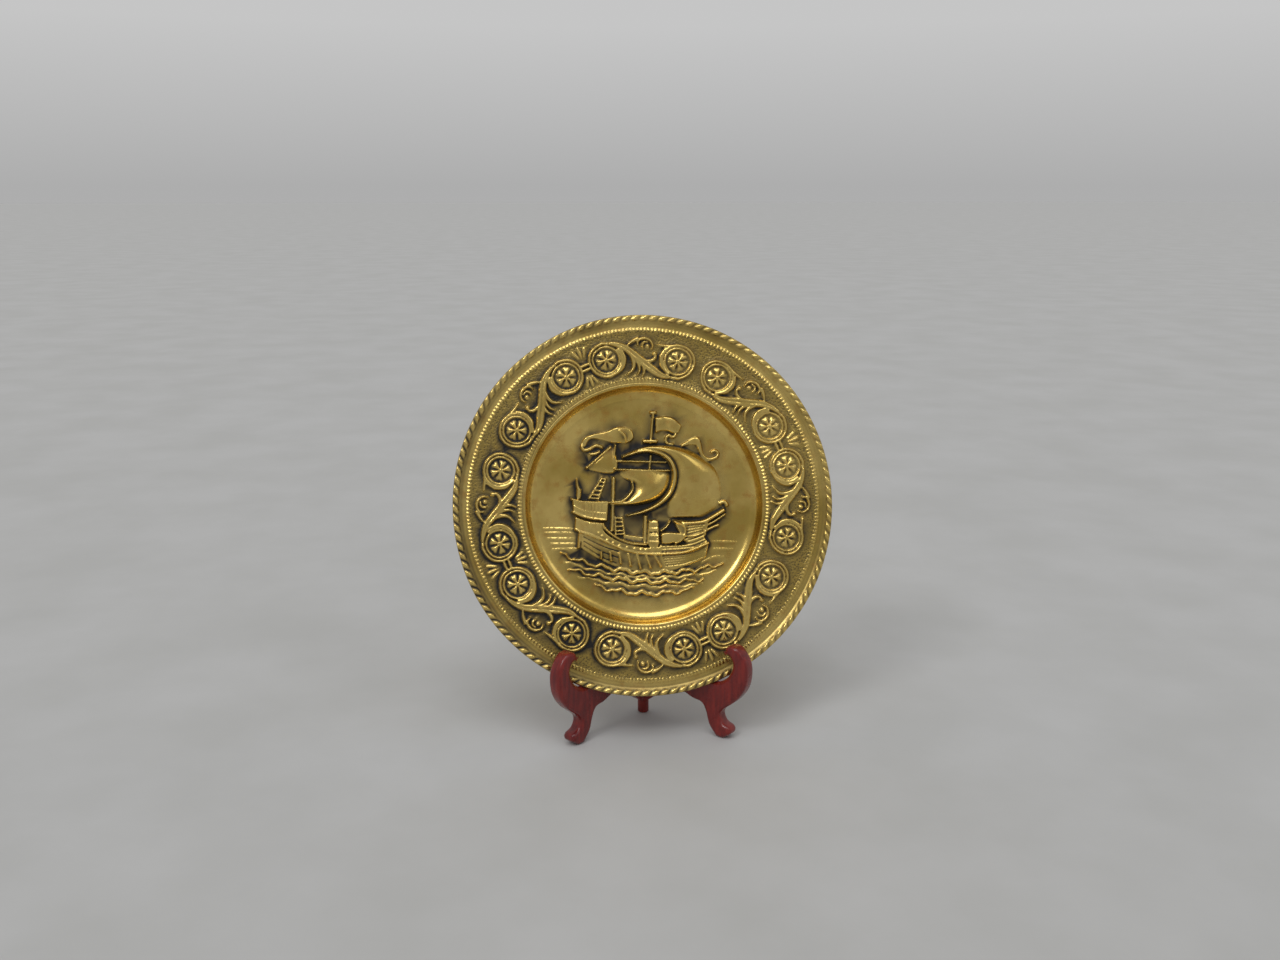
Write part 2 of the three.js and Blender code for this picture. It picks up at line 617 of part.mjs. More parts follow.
function leaf(name, side, ownKnuckles) {
  const board = new THREE.ExtrudeGeometry(leafOutline(), {
    depth: LEAF_THICKNESS - 2 * LEAF_ROUND,
    curveSegments: 1,
    bevelEnabled: true,
    bevelSegments: 1,
    bevelSize: LEAF_ROUND,
    bevelThickness: LEAF_ROUND,
    bevelOffset: -LEAF_ROUND,
  });
  board.translate(0, 0, -(LEAF_THICKNESS - 2 * LEAF_ROUND) / 2);
  board.rotateX(Math.PI / 2);
  board.rotateZ(-Math.PI / 2 + side * HALF_SPREAD);
  const half = new THREE.BoxGeometry(CUT_SIZE, CUT_SIZE, CUT_SIZE);
  half.translate((side * (CUT_SIZE + GAP)) / 2, 0, 0);
  let body = solidOf(board).intersect(solidOf(half));
  for (let index = 0; index < KNUCKLES; index += 1) {
    const bottom = (index * HINGE_HEIGHT) / KNUCKLES;
    const top = bottom + HINGE_HEIGHT / KNUCKLES;
    const lower = index === 0 ? 0 : GAP / 2;
    const upper = index === KNUCKLES - 1 ? 0 : GAP / 2;
    if (index % 2 === ownKnuckles) {
      body = body.add(upright(KNUCKLE_RADIUS, bottom + lower, top - upper));
    } else {
      const reach = upper === 0 ? CUT_SIZE : upper;
      body = body.subtract(upright(KNUCKLE_RADIUS + GAP, bottom - lower, top + reach));
    }
  }
  const bore = upright(PIN_RADIUS + GAP, PIN_FLOOR, CUT_SIZE);
  return meshOf(name, body.subtract(bore), lacquer);
}

function hingePin() {
  return meshOf("hinge_pin", upright(PIN_RADIUS, PIN_FLOOR + GAP, HINGE_HEIGHT - GAP), steel);
}

// Assembly: the origin is under the middle of the whole object, on the floor
const object = new THREE.Group();
object.add(plate(), leaf("left_leaf", -1, 1), leaf("right_leaf", 1, 0), hingePin());
const box = new THREE.Box3().setFromObject(object, true);
object.position.set(-(box.min.x + box.max.x) / 2, -(box.min.y + box.max.y) / 2, -box.min.z);

export default object;
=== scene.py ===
import math

import bpy
import numpy as np
from mathutils import Matrix, Vector


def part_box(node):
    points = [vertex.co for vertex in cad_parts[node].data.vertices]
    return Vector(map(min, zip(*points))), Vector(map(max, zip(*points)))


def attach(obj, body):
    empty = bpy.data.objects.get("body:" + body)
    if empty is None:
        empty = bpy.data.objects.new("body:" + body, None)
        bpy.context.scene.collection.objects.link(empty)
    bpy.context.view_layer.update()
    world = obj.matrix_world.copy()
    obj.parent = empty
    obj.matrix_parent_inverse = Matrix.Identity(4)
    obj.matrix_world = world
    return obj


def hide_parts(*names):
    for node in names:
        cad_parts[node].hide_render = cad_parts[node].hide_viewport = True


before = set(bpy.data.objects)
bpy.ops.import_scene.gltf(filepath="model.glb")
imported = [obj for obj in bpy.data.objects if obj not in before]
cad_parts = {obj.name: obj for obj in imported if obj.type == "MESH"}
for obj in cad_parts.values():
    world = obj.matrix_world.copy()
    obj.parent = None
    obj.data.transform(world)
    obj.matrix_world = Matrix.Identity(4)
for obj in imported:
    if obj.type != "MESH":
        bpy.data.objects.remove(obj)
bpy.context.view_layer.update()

# Lengths are millimetres in the piece's own frame; the scene is in metres
MM = 0.001

# Plate: heights are measured from the front of the flat border ground
SHEET = 1.0
WELL_RADIUS = 82.0
WELL_DEPTH = 12.0
CAVETTO_TOP_RADIUS = 93.4
CAVETTO_LIP = 0.6
FILLET_RADIUS = 95.2
FILLET_HALF = 0.8
FILLET_HIGH = 0.4
BEAD_RADIUS = 98.3
BEAD_HALF = 1.8
BEAD_HIGH = 1.2
BEAD_GAP = 0.85
BEAD_ROUND = 0.8
BEADS = 216
TICK_RADIUS = 138.0
TICK_HALF = 1.7
TICK_HIGH = 0.9
TICK_GAP = 0.85
TICKS = 302
COVE_RADIUS = 139.7
COVE_FLOOR_RADIUS = 143.4
COVE_HALF = 1.6
COVE_DEEP = 0.5
COVE_CURVE = 1.7
ROPE_FOOT_RADIUS = 145.6
ROPE_FOOT_HIGH = 1.7
ROPE_HIGH = 3.3
ROPE_LOBES = 126
ROPE_SLANT = 0.75
ROPE_ROUND = 0.7
ROPE_SQUARE = 0.3
ROPE_HOLLOW = 0.15
PLATE_RADIUS = 149.85
EDGE_HIGH = 1.6
EDGE_THICK = 1.4
EDGE_TURN_RADIUS = 148.3
LEAN = math.radians(16)
TURN = math.radians(-5.8)
PLATE_CENTRE_HEIGHT = 181.4
HINGE_BEHIND_CENTRE = 13.2

# Height field of the plate's face and the mesh that is cut from it
CELL = 0.4
REACH = 152.0
SAMPLE = 0.25
ROUGH_STEPS = 60
NUDGE = 0.002
TINY = 1e-9
INSIDE_GRID = 1.001
FRONT_STEP = 0.52
BACK_STEP = 1.5
FULL_TURN = 1512
EDGE_CLEAR = 0.2
SMALLEST_HALVING = 20
PLATE_TRIANGLES = 190000
EVENNESS = 0.006
EVEN_WEIGHT = 0.5
PRESS_SOFTNESS = 0.32
BACK_SHRINK = 0.8
BACK_SOFTNESS = 0.8
NORMAL_LIMIT = 146.0

# Border: eight cells, every second one mirrored; x runs clockwise, y is the radius.
# A stroke is a half width, a height and a path
CELLS = 8
CELL_START = math.radians(50.3)
BORDER_RADIUS = 117.0
CELL_END = math.pi / CELLS * BORDER_RADIUS
LEFT_RING = (-28.8, 115.9)
RIGHT_RING = (28.8, 117.4)
RING_OUTER = 13.3
RING_INNER = 12.6
RING_STEPS = 18
LEFT_TURN = (-65, 262)
RIGHT_TURN = (98, -215)
RING_HALF = 1.15
RING_HIGH = 2.3
STEM = [(-15, 103.6), (0, 112.8), (13.5, 125)]
FLUTED_STEM = {"path": [(-25, 102.4), *STEM, (24, 130.2)], "half": 3.6, "high": 2.7}
HOOP_RADIUS = 10.6
HOOP_HALF = 0.85
HOOP_HIGH = 1.8
PETALS = 6
PETAL_TIP = 8.0
PETAL_NOTCH = 0.8
PETAL_GAP = 0.5
PETAL_NOTCH_WIDE = 0.03
PETAL_FULL = 0.6
PETAL_END = 6
PETAL_GRID = (40, 220)
ROSETTE_HIGH = 1.9
BOSS_RADIUS = 1.7
BOSS_HIGH = 1.7
BALL_GRID = (12, 40)
BALL_DROP = 0.95
LEAF_BLADES = [
    (1.5, 2.3, [(4, 115), (-0.6, 110), (-1.4, 105), (0.4, 101)]),
    (1.3, 2.1, [(6.5, 116.4), (3.4, 111.4), (2.6, 106.4), (4.6, 102.4)]),
    (1.6, 2.3, [(8.5, 118), (7, 112), (8.6, 107), (14, 103.2)]),
]
BUD_STROKES = [
    (1.15, 2.4, [(-7.4, 123), (-7.6, 127), (-4.6, 130.6), (0, 131.2), (3, 129), (3.4, 125.6)]),
    (0.9, 2.0, [(-4.4, 128.4), (-1.4, 128.4), (0, 126), (-0.4, 123.4)]),
]
BUD_LEAF = (1.5, 2.3, [(2.4, 131.4), (6.6, 129.4), (10.8, 126.4)])
BALLS = [
    {"centre": (-4, 125), "radius": 1.6, "high": 1.7},
    {"centre": (-9.6, 119.4), "radius": 1.7, "high": 2.2},
]
CRESCENTS = [
    (1.3, 2.1, [(-17.4, 125), (-14.6, 117.5), (-16.4, 109.8), (-22, 105.4)]),
    (1.7, 2.4, [(16.6, 125), (14, 117), (16.4, 110.4), (22, 106.2), (28.4, 104.8)]),
]
TENDRILS = [
    (1.4, 2.2, [(0, 115.4), (-4, 113.6), (-8, 114), (-10.4, 116.6), (-9.8, 119.6)]),
    (1.2, 1.9, [(-27, 128.9), (-19, 126.6), (-11.4, 126.6)]),
]
CLASPS = [
    (1.3, 2.2, [(-4.2, 115.2), (4.2, 115.2)]),
    (1.3, 2.2, [(-4.2, 119), (4.2, 119)]),
]
SPRIGS = [
    (1.3, 1.5, [(0, 125.5), (0, 134)]),
    (1.1, 1.2, [(-2, 125.5), (-4.6, 132.4)]),
    (1.1, 1.2, [(2, 125.5), (4.6, 132.4)]),
    (1.3, 1.5, [(0, 109.5), (0, 101.6)]),
    (1.1, 1.2, [(-2, 109.5), (-5, 103)]),
    (1.1, 1.2, [(2, 109.5), (5, 103)]),
]

# Galleon areas: height above the floor of the well and the two edges; a flag's second number is its folds
MAIN_SAIL = (7.6, [(-20, 36.8), (-4, 43), (10, 42.3), (19.5, 35.5), (23.5, 24), (22, 12), (19, 3),
                   (20, -8.5)],
                  [(-20.5, 37.8), (-5, 45.2), (10, 48.4), (30, 47.2), (46, 40.5), (57, 31), (61.7, 17),
                   (60, 4), (48, -6)])
COURSE = (6.2, [(-24, 26), (-19, 20.6), (-11, 17), (-10, 11.5), (-13, 5.5), (-18, 1.2), (-28, -0.6)],
               [(18, 28), (19.8, 23), (18.6, 14.5), (14, 8), (6, 2.8), (-6, -0.5), (-27.5, -2.4)])
MIZZEN = (2.4, [(-46.8, 25.6), (-38, 34.6), (-29.8, 43.6)],
               [(-46, 24.7), (-30, 22.6), (-23, 26), (-24, 35), (-27.5, 43.6)])
HULL_SIDE = (3.0, [(-48, -25.5), (-38, -27.5), (-16, -35), (0, -37), (18, -36.5), (36, -33), (54.5, -26)],
                  [(-47, -38), (-31, -46.5), (-18, -51), (-3, -54), (12, -53.5), (28, -50.5), (52, -39)])
HULL_PANELS = [
    (4.2, [(-57, 0.5), (-46.5, -0.8), (-29, 0)], [(-55, -11), (-45, -14.5), (-28.5, -15.4)]),
    (3.2, [(-53.5, -13), (-44, -15.6), (-32, -16)], [(-53, -24), (-44, -27), (-33, -30.5)]),
    (3.0, [(-32, -17.5), (-29, -24), (-19, -29.5), (-7, -32.5), (8, -33.5), (20, -31)],
          [(-37, -28.5), (-28, -32.5), (-18, -36), (-6, -38), (6, -38.6), (20, -38)]),
    (4.2, [(15.5, -21.5), (22, -20), (33.5, -20.5)], [(16.5, -30), (22, -30), (33, -26)]),
    (3.0, [(24, -10), (36, -9.8), (46, -9.3), (53, -6.5)],
          [(34.5, -27), (39, -28.5), (47, -26), (51.5, -20.5)]),
    (2.8, [(15, -30.5), (28, -29.8), (38, -28), (50, -22)],
          [(15, -37.5), (28, -36.5), (40, -33.5), (54, -27)]),
    (1.6, [(-14, -24.5), (1, -25.5)], [(-14, -31), (1, -32.5)]),
    (2.6, [(5.2, -12), (5, -30), (9.8, -34.5)], [(11.5, -11.5), (14.5, -30.5), (10.6, -34.5)]),
]
FLAGS = [
    (2.8, 10.0, [(4.5, 70.5), (10, 71.6), (16, 71.6), (21, 69.5), (25.5, 65.5)],
                [(5.5, 57.5), (10, 59.8), (15, 60), (19, 58.4), (23.5, 59.5)]),
    (2.0, 14.0, [(26.5, 50), (33, 54.5), (39, 57.4), (42.3, 53), (45, 44.2), (50, 41.2), (56, 43.5)],
                [(27, 48.4), (33, 50.6), (38.5, 50.4), (41, 46.5), (45, 40.4), (50, 38.8), (57.2, 42)]),
    (2.3, 16.0, [(-12, 53), (-14.5, 59), (-22, 60.8), (-28, 59.5), (-35, 55.3), (-44, 52.8), (-51, 49),
                 (-54, 42)],
                [(-14, 50), (-18, 47.6), (-23, 47.3), (-28, 46.8), (-35, 48.6), (-42, 49.4), (-47, 48.4),
                 (-50, 43)]),
]

# Galleon strokes: half width, height above the floor and path
ROLLED_EDGES = [
    (2.4, 6.2, [(-20, 36.3), (-4, 42.4), (10, 41.8), (19, 35.8), (22.9, 25), (20.5, 12), (12, 1.6),
                (0, -5.4), (-13, -9.8)]),
    (1.4, 5.0, [(-11, 17.6), (-9.8, 12), (-12.5, 6.3), (-18, 1.5), (-28, -0.4)]),
]
SPARS = [
    (1.0, 3.2, [(-48, 25.2), (-29.5, 44)]),
    (0.8, 5.0, [(-25.5, 26.1), (19, 28.6)]),
    (0.8, 2.0, [(-28.5, 32.8), (16, 35.2)]),
    (0.9, 2.4, [(2.6, 27.6), (2.8, 40)]),
    (1.0, 2.2, [(1.8, 49), (2.3, 74)]),
    (1.6, 2.8, [(-4.5, 50.4), (7.2, 51.2)]),
    (1.2, 2.4, [(-0.5, 73.6), (4.6, 74.4)]),
    (0.8, 2.8, [(-26.6, 31), (-26, 46)]),
    (1.5, 2.6, [(-25.6, 20), (-23.6, -23)]),
    (1.7, 3.0, [(2, -8.5), (3, -30)]),
    (1.7, 4.0, [(33, -12.6), (48, -10.2), (56, -5.6), (65, 0.8)]),
    (1.0, 2.8, [(49, -14.2), (57, -9.4), (66, -2.6)]),
    (1.2, 3.0, [(49, -18.6), (55, -14.6), (61.5, -11.4)]),
    (1.5, 2.2, [(60.5, 5.4), (64.5, 7.2), (67.5, 4)]),
    (2.0, 2.6, [(-52, 0.6), (-52.2, 8.4)]),
    (1.2, 3.0, [(-49, -25), (-49, -38.5)]),
    (1.2, 2.0, [(22, 58.4), (19.4, 55.6), (16, 56.9), (13.6, 53.6), (15.6, 50.2), (20.5, 50)]),
    (1.0, 1.8, [(56, 42.8), (57, 45.6), (54.4, 47.6), (51, 46)]),
    (1.3, 2.2, [(-53, 43), (-50.6, 39.6), (-46, 41), (-41.5, 44), (-36, 43)]),
    (1.1, 1.6, [(-46, 36.6), (-41, 37.6), (-38, 39.5)]),
    (1.0, 2.9, [(-24, 57.5), (-19.5, 54), (-18, 50)]),
]
LANTERN = (1.5, 2.6, [(-52.6, 8), (-54, 12), (-54.6, 16.4)])
RAILS = [
    (1.0, 5.2, [(-58, 0.2), (-46.5, -1.4), (-28.5, -0.2)]),
    (0.7, 4.9, [(-56, -5.4), (-46, -8.8), (-29, -9.4)]),
    (1.0, 5.2, [(-56.5, -9.8), (-45.5, -13.6), (-29, -14.6)]),
    (0.8, 5.0, [(-46, -1), (-45.2, -14)]),
    (0.8, 5.0, [(-29, 0), (-28.8, -15)]),
    (0.7, 4.0, [(-42, -17.8), (-34, -17.6)]),
    (0.9, 4.0, [(-53, -23.6), (-44, -26.6), (-33, -30)]),
    (1.2, 4.6, [(-31.5, -17), (-29, -21.5), (-20, -27.6), (-8, -31.2), (5, -31.4)]),
    (1.1, 4.2, [(-50, -25.2), (-38, -27.6), (-16, -35.8), (0, -38.6), (18, -38), (36, -35), (54.5, -26.4)]),
    (0.9, 3.6, [(22, -11), (19.4, -16), (14.8, -20)]),
    (1.1, 4.6, [(25, -11.4), (33.4, -14.8), (34.6, -20), (32.6, -25.4), (27, -29)]),
    (0.9, 4.0, [(34, -22.6), (43, -21.6), (51, -17.6)]),
]
# Ladders: two sides, each from head to foot, and the number of rungs
LADDERS = [
    {"first": [(-44, 1), (-34.6, 19)], "second": [(-36.5, 1), (-31.5, 18.5)], "rungs": 6, "high": 1.9},
    {"first": [(-22, -11), (-20.5, -26)], "second": [(-16.5, -11), (-13.5, -25)], "rungs": 5, "high": 2.2},
    {"first": [(5.4, -12), (5.4, -30)], "second": [(11.6, -11.5), (14.2, -30)], "rungs": 4, "high": 3.8},
]
LADDER_HALF = 0.7
FIRST_RUNG = 0.6
RUNG_HALF = 0.55
# Planks: lines cut into the hull between two curves, evenly spread
PLANKS = [
    {"first": [(36, -14), (50, -12)], "second": [(35, -27), (50, -20)], "lines": 4, "deep": 0.9},
    {"first": [(17, -31.5), (38, -28.6), (50, -23.4)], "second": [(17, -36), (40, -32.6), (53, -26.6)],
     "lines": 1, "deep": 0.9},
    {"first": [(18, -39.6), (40, -36), (53, -29)], "second": [(21, -47), (36, -44), (52, -37)],
     "lines": 3, "deep": 0.9},
    {"first": [(-46, -29), (-30, -35.4), (-17, -38.6)], "second": [(-45, -36), (-30, -44), (-18, -48)],
     "lines": 1, "deep": 0.7},
]
PLANK_HALF = 0.6
# Balusters stand in two rows along the castle
BALUSTERS = 7
BALUSTER_ROWS = [
    {"first": [(-44.6, -3), (-44.2, -7.8)], "second": [(-30.2, -2), (-30.2, -7.8)]},
    {"first": [(-44, -10.6), (-43.8, -12.8)], "second": [(-30.2, -10.6), (-30.2, -13.4)]},
]
BALUSTER_HALF = 0.55
BALUSTER_HIGH = 4.9
# Studs run along the bulwark
STUDS = {"path": [(-34.5, -25), (-27, -30), (-17, -33.8), (-5, -35.6), (4, -36)], "count": 9}
STUD_RADIUS = 1.3
STUD_HIGH = 4.0
OARS = 7
OAR = {"half": 0.9, "high": 3.8, "top": -39.6, "first_x": -31.0, "pitch": 7.1, "slant": 0.9, "reach": 11.5}
OAR_LEAN = 0.4
OAR_MIDDLE = 4
OAR_SHORTER = 1.4

# Wave crests: a shallow bowl, risen by bowl at this reach from the middle, with ripples along it
WAVE_REACH = 60.0
WAVE_POINTS = 60
CHOP_SHARE = 0.45
CHOP_PACE = 2.3
WAVES = [
    {"ends": (-63, 67), "low": -53.6, "bowl": 9.2, "ripple": 1.3, "length": 16.5, "half": 1.6, "high": 2.0},
    {"ends": (-60, 62), "low": -57.4, "bowl": 8.0, "ripple": 0.8, "length": 19.0, "half": 0.9, "high": 0.9},
    {"ends": (-56, 52), "low": -60.6, "bowl": 6.5, "ripple": 1.3, "length": 17.5, "half": 1.6, "high": 1.8},
    {"ends": (-48, 52), "low": -64.8, "bowl": 7.0, "ripple": 0.8, "length": 21.0, "half": 0.9, "high": 0.8},
    {"ends": (-34, 45), "low": -70.4, "bowl": 12.0, "ripple": 1.3, "length": 18.5, "half": 1.5, "high": 1.6},
]
SEA_LINES = [
    [(-78, -24.6), (-54, -23.2)], [(-77, -28), (-54, -26.4)], [(-75, -32.4), (-53, -31)],
    [(-72, -36.4), (-52, -35)], [(-70, -40.6), (-50, -38.6)], [(56, -25.2), (77, -24.2)],
    [(58, -31), (75, -30)], [(50, -42.5), (59, -37.6), (67, -36.6)], [(54, -48), (66, -43)],
]
SEA_LINE_HALF = 0.7
SEA_LINE_HIGH = 0.6

# Darkened areas of the ship, partly deposit where it was never polished and partly painted shade under the
# sails and the forecastle and between the oars: the share and the two edges of each area
SOOT_AND_SHADE = [
    (1.0, [(-19, 35.6), (-6, 40.4), (8, 40.6), (17, 36.6), (20.4, 29)],
          [(-18, 33.6), (-6, 34.6), (4, 33), (12, 30), (19, 28.4)]),
    (1.0, [(-17, 32.6), (2, 33.6)], [(-17, 30.8), (2, 31.4)]),
    (1.0, [(-28, -1.6), (-14, -2.4), (0, 0.6), (12, 6.6), (19, 13)],
          [(-28, -4.6), (-14, -8), (0, -3.6), (12, 3), (20, 10)]),
    (0.9, [(-14, -11), (0, -8), (14, -1), (20, 3)], [(-14, -13), (0, -11.6), (12, -11), (20, -9)]),
    (0.75, [(-28, -4), (-27, -22)], [(-18, -6), (-21, -22)]),
    (0.6, [(-12, -13), (-12, -24)], [(1, -12), (1, -25)]),
    (0.9, [(19, -6.5), (34, -6), (47, -6.5)], [(19, -10), (34, -9.4), (47, -8.6)]),
    (0.9, [(21.5, -12.4), (32.5, -15.5)], [(16, -20), (31, -19.5)]),
    (0.55, [(-46, -24), (-30, -44), (-10, -52), (14, -52)],
           [(-40, -27.5), (-28, -36), (-10, -42), (18, -44)]),
    (0.55, [(-42, 23.6), (-26, 21)], [(-40, 12), (-20, 6)]),
]

# Cross sections: how full or square a form is, and how much is left of it at its ends
FLUTE_FULL = 0.6
FLUTE_MEAN = 0.76
FLUTE_SWING = 0.24
HULL_TUCK = 0.65
PANEL_RIM = 0.1
PANEL_SQUARE = 0.6
BELLY_FULL = 0.75
END_SHARE = 0.25
POINT_REACH = 1.15
POINT_TIP = 0.15
SAIL_SKEW = 0.85
SAIL_FULL = 0.8
SAIL_ENDS = 0.3
SAIL_LONG_SKEW = 0.9
SAIL_LONG_FULL = 0.7
COURSE_HEAD = 0.7
COURSE_FOOT = 0.45
COURSE_SLOPE = 1.4
FLAG_SWING = 0.25

# Wear and painted shade: reach of the blurs that find hollows and crests, and the depth or height that counts
# as full; the cove floor and the lower left side are darkened as painted shade
FINE_REACH = 1.5
FINE_DEPTH = 0.45
BROAD_REACH = 4.0
BROAD_DEPTH = 1.3
COVE_SHADE = 0.6
ROPE_DIRT = 1.3
DIRT_AND_SHADE_MEAN = 0.8
SHADE_SWING = 0.3
GROUND_LOW = 0.25
GROUND_REACH = 0.4
CREST_REACH = 1.2
CREST_HIGH = 0.5
SOOT_AND_SHADE_REACH = 1.2

# Stand: x is the distance from the hinge, y the height
HALF_SPREAD = math.radians(48)
LEAF_THICKNESS = 12.0
LEAF_ROUND = 3.0
KNUCKLE_RADIUS = 4.6
KNUCKLE_ROUND = 0.6
KNUCKLES = 3
HINGE_HEIGHT = 82.0
PIN_RADIUS = 1.5
NOTCH_FLOOR = 46.0
SUPPORT_FOOT = 70.6
SUPPORT_TOP = 86.0
SUPPORT_SLOPE = math.tan(LEAN) / math.cos(HALF_SPREAD)
GAP = 0.3
OWN_EDGE = 2.5
OTHER_EDGE = 6.8
REAR_FOOT_HIGH = 8.2
REAR_FOOT_RISE = 0.66
TOE_FLAT_END = 81.0
ARCH = [
    (10, 14.8), (17, 21.6), (27, 28), (40, 30.5),
    (52, 26.8), (60.6, 25.2), (64.6, 19), (68, 8.5), (75, 0),
]
TOE_AND_HOOK = [
    (87.4, 5), (86.2, 9.8), (79.4, 13.4), (78.6, 22), (93, 35),
    (100.7, 48), (101.4, 64.5), (93.4, 77.2), (84, 77.8), (80.6, 71.4),
]
THROAT = [
    (85.6, 70.2), (88.8, 65.5), (88.6, 60.5), (86.8, 56.2), (84.4, 52.4),
    (81, 49.4), (77.5, 47.2), (74, NOTCH_FLOOR),
]
ARM_TOP = [(46, 92), (30, 89), (12, 84), (OWN_EDGE, HINGE_HEIGHT)]
SPLINE_STEPS = 7
BEVEL_STEPS = 4
KNUCKLE_STEPS = 40
SHARP_ANGLE = math.radians(40)

# Camera, worked out in the photograph's 1280 by 960 frame about the plate's centre
LENS = 33.75
SENSOR = 36.0
CAMERA_AZIMUTH = math.radians(-5.9)
CAMERA_OFFSET = (-4.0, -912.5, 244.0)
CAMERA_PITCH = math.radians(13.807)
CAMERA_CLIP = 100

# Lights: soft suns, by where they stand, how wide they look and their strength
LIGHTS = {
    "overhead": {"azimuth": -10.0, "elevation": 68.0, "width": 36.0, "strength": 0.66},
    "left_key": {"azimuth": -48.0, "elevation": 44.0, "width": 18.0, "strength": 0.52},
    "right_fill": {"azimuth": 50.0, "elevation": 40.0, "width": 25.0, "strength": 0.12},
}
WORLD_FRONT = (0.36, 0.36, 0.36)
WORLD_HORIZON = (0.42, 0.42, 0.42)
WORLD_BACK = (0.56, 0.56, 0.56)
WORLD_TOP = (0.45, 0.45, 0.45)
FLOOR_HALF = 30.0
FLOOR_PALE = (0.53, 0.53, 0.525)
FLOOR_GREY = (0.49, 0.49, 0.48)
HORIZON_BAND = (0.0, 0.12)
SIDE_BAND = (-0.5, 0.5)
TOP_BAND = (0.15, 0.9)

# Colours
BRASS_BRIGHT = (0.82, 0.60, 0.19)
BRASS_DULL = (0.52, 0.36, 0.085)
BRASS_TAN = (0.46, 0.22, 0.05)
BRASS_GROUND = (0.46, 0.32, 0.08)
# near black, for grime and deposit and for painted shade in the cove, under the ship's parts and towards the
# lower left
DIRT_AND_SHADE_BLACK = (0.012, 0.010, 0.008)
# heading on the plate towards which the painted shade in the hollows grows darker
SHADE_HEADING = math.radians(215)
LACQUER_RED = (0.24, 0.020, 0.014)
LACQUER_DEEP = (0.12, 0.009, 0.009)
STEEL_PALE = (0.55, 0.54, 0.51)
STEEL_DARK = (0.38, 0.37, 0.35)

# Patterns, and what they are spread over: from low, from high, to low, to high
STAIN = {"scale": 16.0, "detail": 5.0}
MOTTLE = {"scale": 110.0, "detail": 5.0, "roughness": 0.65}
FINE_GRAIN = {"scale": 900.0, "detail": 2.0}
STIPPLE_SCALE = 620.0
STAIN_SPREAD = (0.38, 0.62)
TAN_SPREAD = (0.50, 0.72, 0.0, 0.6)
DIRT_SPREAD = (0.3, 0.7, 0.8, 1.3)
PIT_SPREAD = (0.25, 0.65, 0.75, 0.0)
BRASS_ROUGHNESS = (0.3, 0.7, 0.16, 0.30)
METAL_SPREAD = (0.0, 1.0, 1.0, 0.3)
GROUND_SHARE = 0.75
POLISH_SHARE = 0.7
DIRT_ROUGHER = 0.25
POLISH_SMOOTHER = 0.06
FINE_GRAIN_SHARE = 0.1
BRASS_BUMP = (0.6, 0.0006)
WOOD_STRETCH = (60, 60, 9)
WOOD_GRAIN = {"scale": 6.0, "detail": 6.0, "roughness": 0.6}
WOOD_CLOUD = {"scale": 45.0, "detail": 3.0}
WOOD_GRAIN_SHARE = 0.65
WOOD_SPREAD = (0.38, 0.62)
LACQUER_ROUGHNESS = (0.3, 0.7, 0.20, 0.34)
LACQUER_SPECULAR = 0.3
LACQUER_COAT = 0.35
LACQUER_COAT_ROUGHNESS = 0.06
LACQUER_BUMP = (0.12, 0.0004)
WIRE_STRETCH = (300, 300, 20)
WIRE_STREAKS = {"scale": 5.0, "detail": 3.0}
WIRE_ROUGHNESS = (0.3, 0.7, 0.28, 0.45)
FLOOR_CLOUD = {"scale": 7.0, "detail": 4.0}
FLOOR_SPREAD = (0.35, 0.65)
FLOOR_ROUGHNESS = 0.75

AXIS = np.arange(-REACH, REACH + CELL / 2, CELL)
COUNT = len(AXIS)
GRID_U, GRID_V = np.meshgrid(AXIS, AXIS)
GRID_RADIUS = np.hypot(GRID_U, GRID_V)
GRID_ANGLE = np.arctan2(GRID_V, GRID_U)


# Curves
def through(points):
    """The smooth curve through a few points, as a function of a share from 0 to 1."""
    spots = np.asarray(points, float)
    last = len(spots) - 1

    def curve(share):
        at = np.clip(share, 0, 1) * last
        index = np.minimum(at.astype(int), last - 1)
        part = (at - index)[:, None]
        start = spots[index]
        end = spots[index + 1]
        lead = (end - spots[np.maximum(index - 1, 0)]) / 2
        trail = (spots[np.minimum(index + 2, last)] - start) / 2
        bend = 2 * (start - end) + lead + trail
        turn = 3 * (end - start) - 2 * lead - trail
        return ((bend * part + turn) * part + lead) * part + start

    return curve


def between(first, second, part):
    """The curve at a share of the way from one curve to another."""
    return lambda share: first(share) * (1 - part) + second(share) * part


def beside(path, reach):
    """The curve that runs beside a path; reach is a function of the share along it."""
    def curve(share):
        heading = path(share + NUDGE) - path(share - NUDGE)
        heading /= np.maximum(np.linalg.norm(heading, axis=1), TINY)[:, None]
        side = np.stack([-heading[:, 1], heading[:, 0]], axis=1)
        return path(share) + side * reach(share)[:, None]

    return curve


def spiral(centre, start, end, radius_start, radius_end):
    """Points on a turn about a centre, in degrees."""
    share = np.linspace(0, 1, RING_STEPS + 1)
    angle = np.radians(start + (end - start) * share)
    radius = radius_start + (radius_end - radius_start) * share
    x = centre[0] + radius * np.cos(angle)
    y = centre[1] + radius * np.sin(angle)
    return list(zip(x, y))


# Cross sections, as shares of the height over a share from edge to edge
def ridge(share):
    return np.sqrt(np.clip(1 - (2 * share - 1) ** 2, 0, 1))


def fluted(share):
    return ridge(share) ** FLUTE_FULL * (FLUTE_MEAN - FLUTE_SWING * np.cos(4 * np.pi * share))


def hull_side(share):
    return panel(share) * (1 - HULL_TUCK * share)


def panel(share):
    return np.clip(np.minimum(share, 1 - share) / PANEL_RIM, 0, 1) ** PANEL_SQUARE


def belly(share):
    return np.clip(np.sin(np.pi * share), 0, 1) ** BELLY_FULL


def flush(share):
    return np.ones_like(share)


def swell(share):
    return END_SHARE + (1 - END_SHARE) * np.sin(np.pi * np.clip(share, 0, 1))


def taper(share):
    return END_SHARE + (1 - END_SHARE) * (1 - np.clip(share, 0, 1))


def pointed(share):
    return np.clip(POINT_REACH - np.clip(share, 0, 1) ** 2, POINT_TIP, 1)


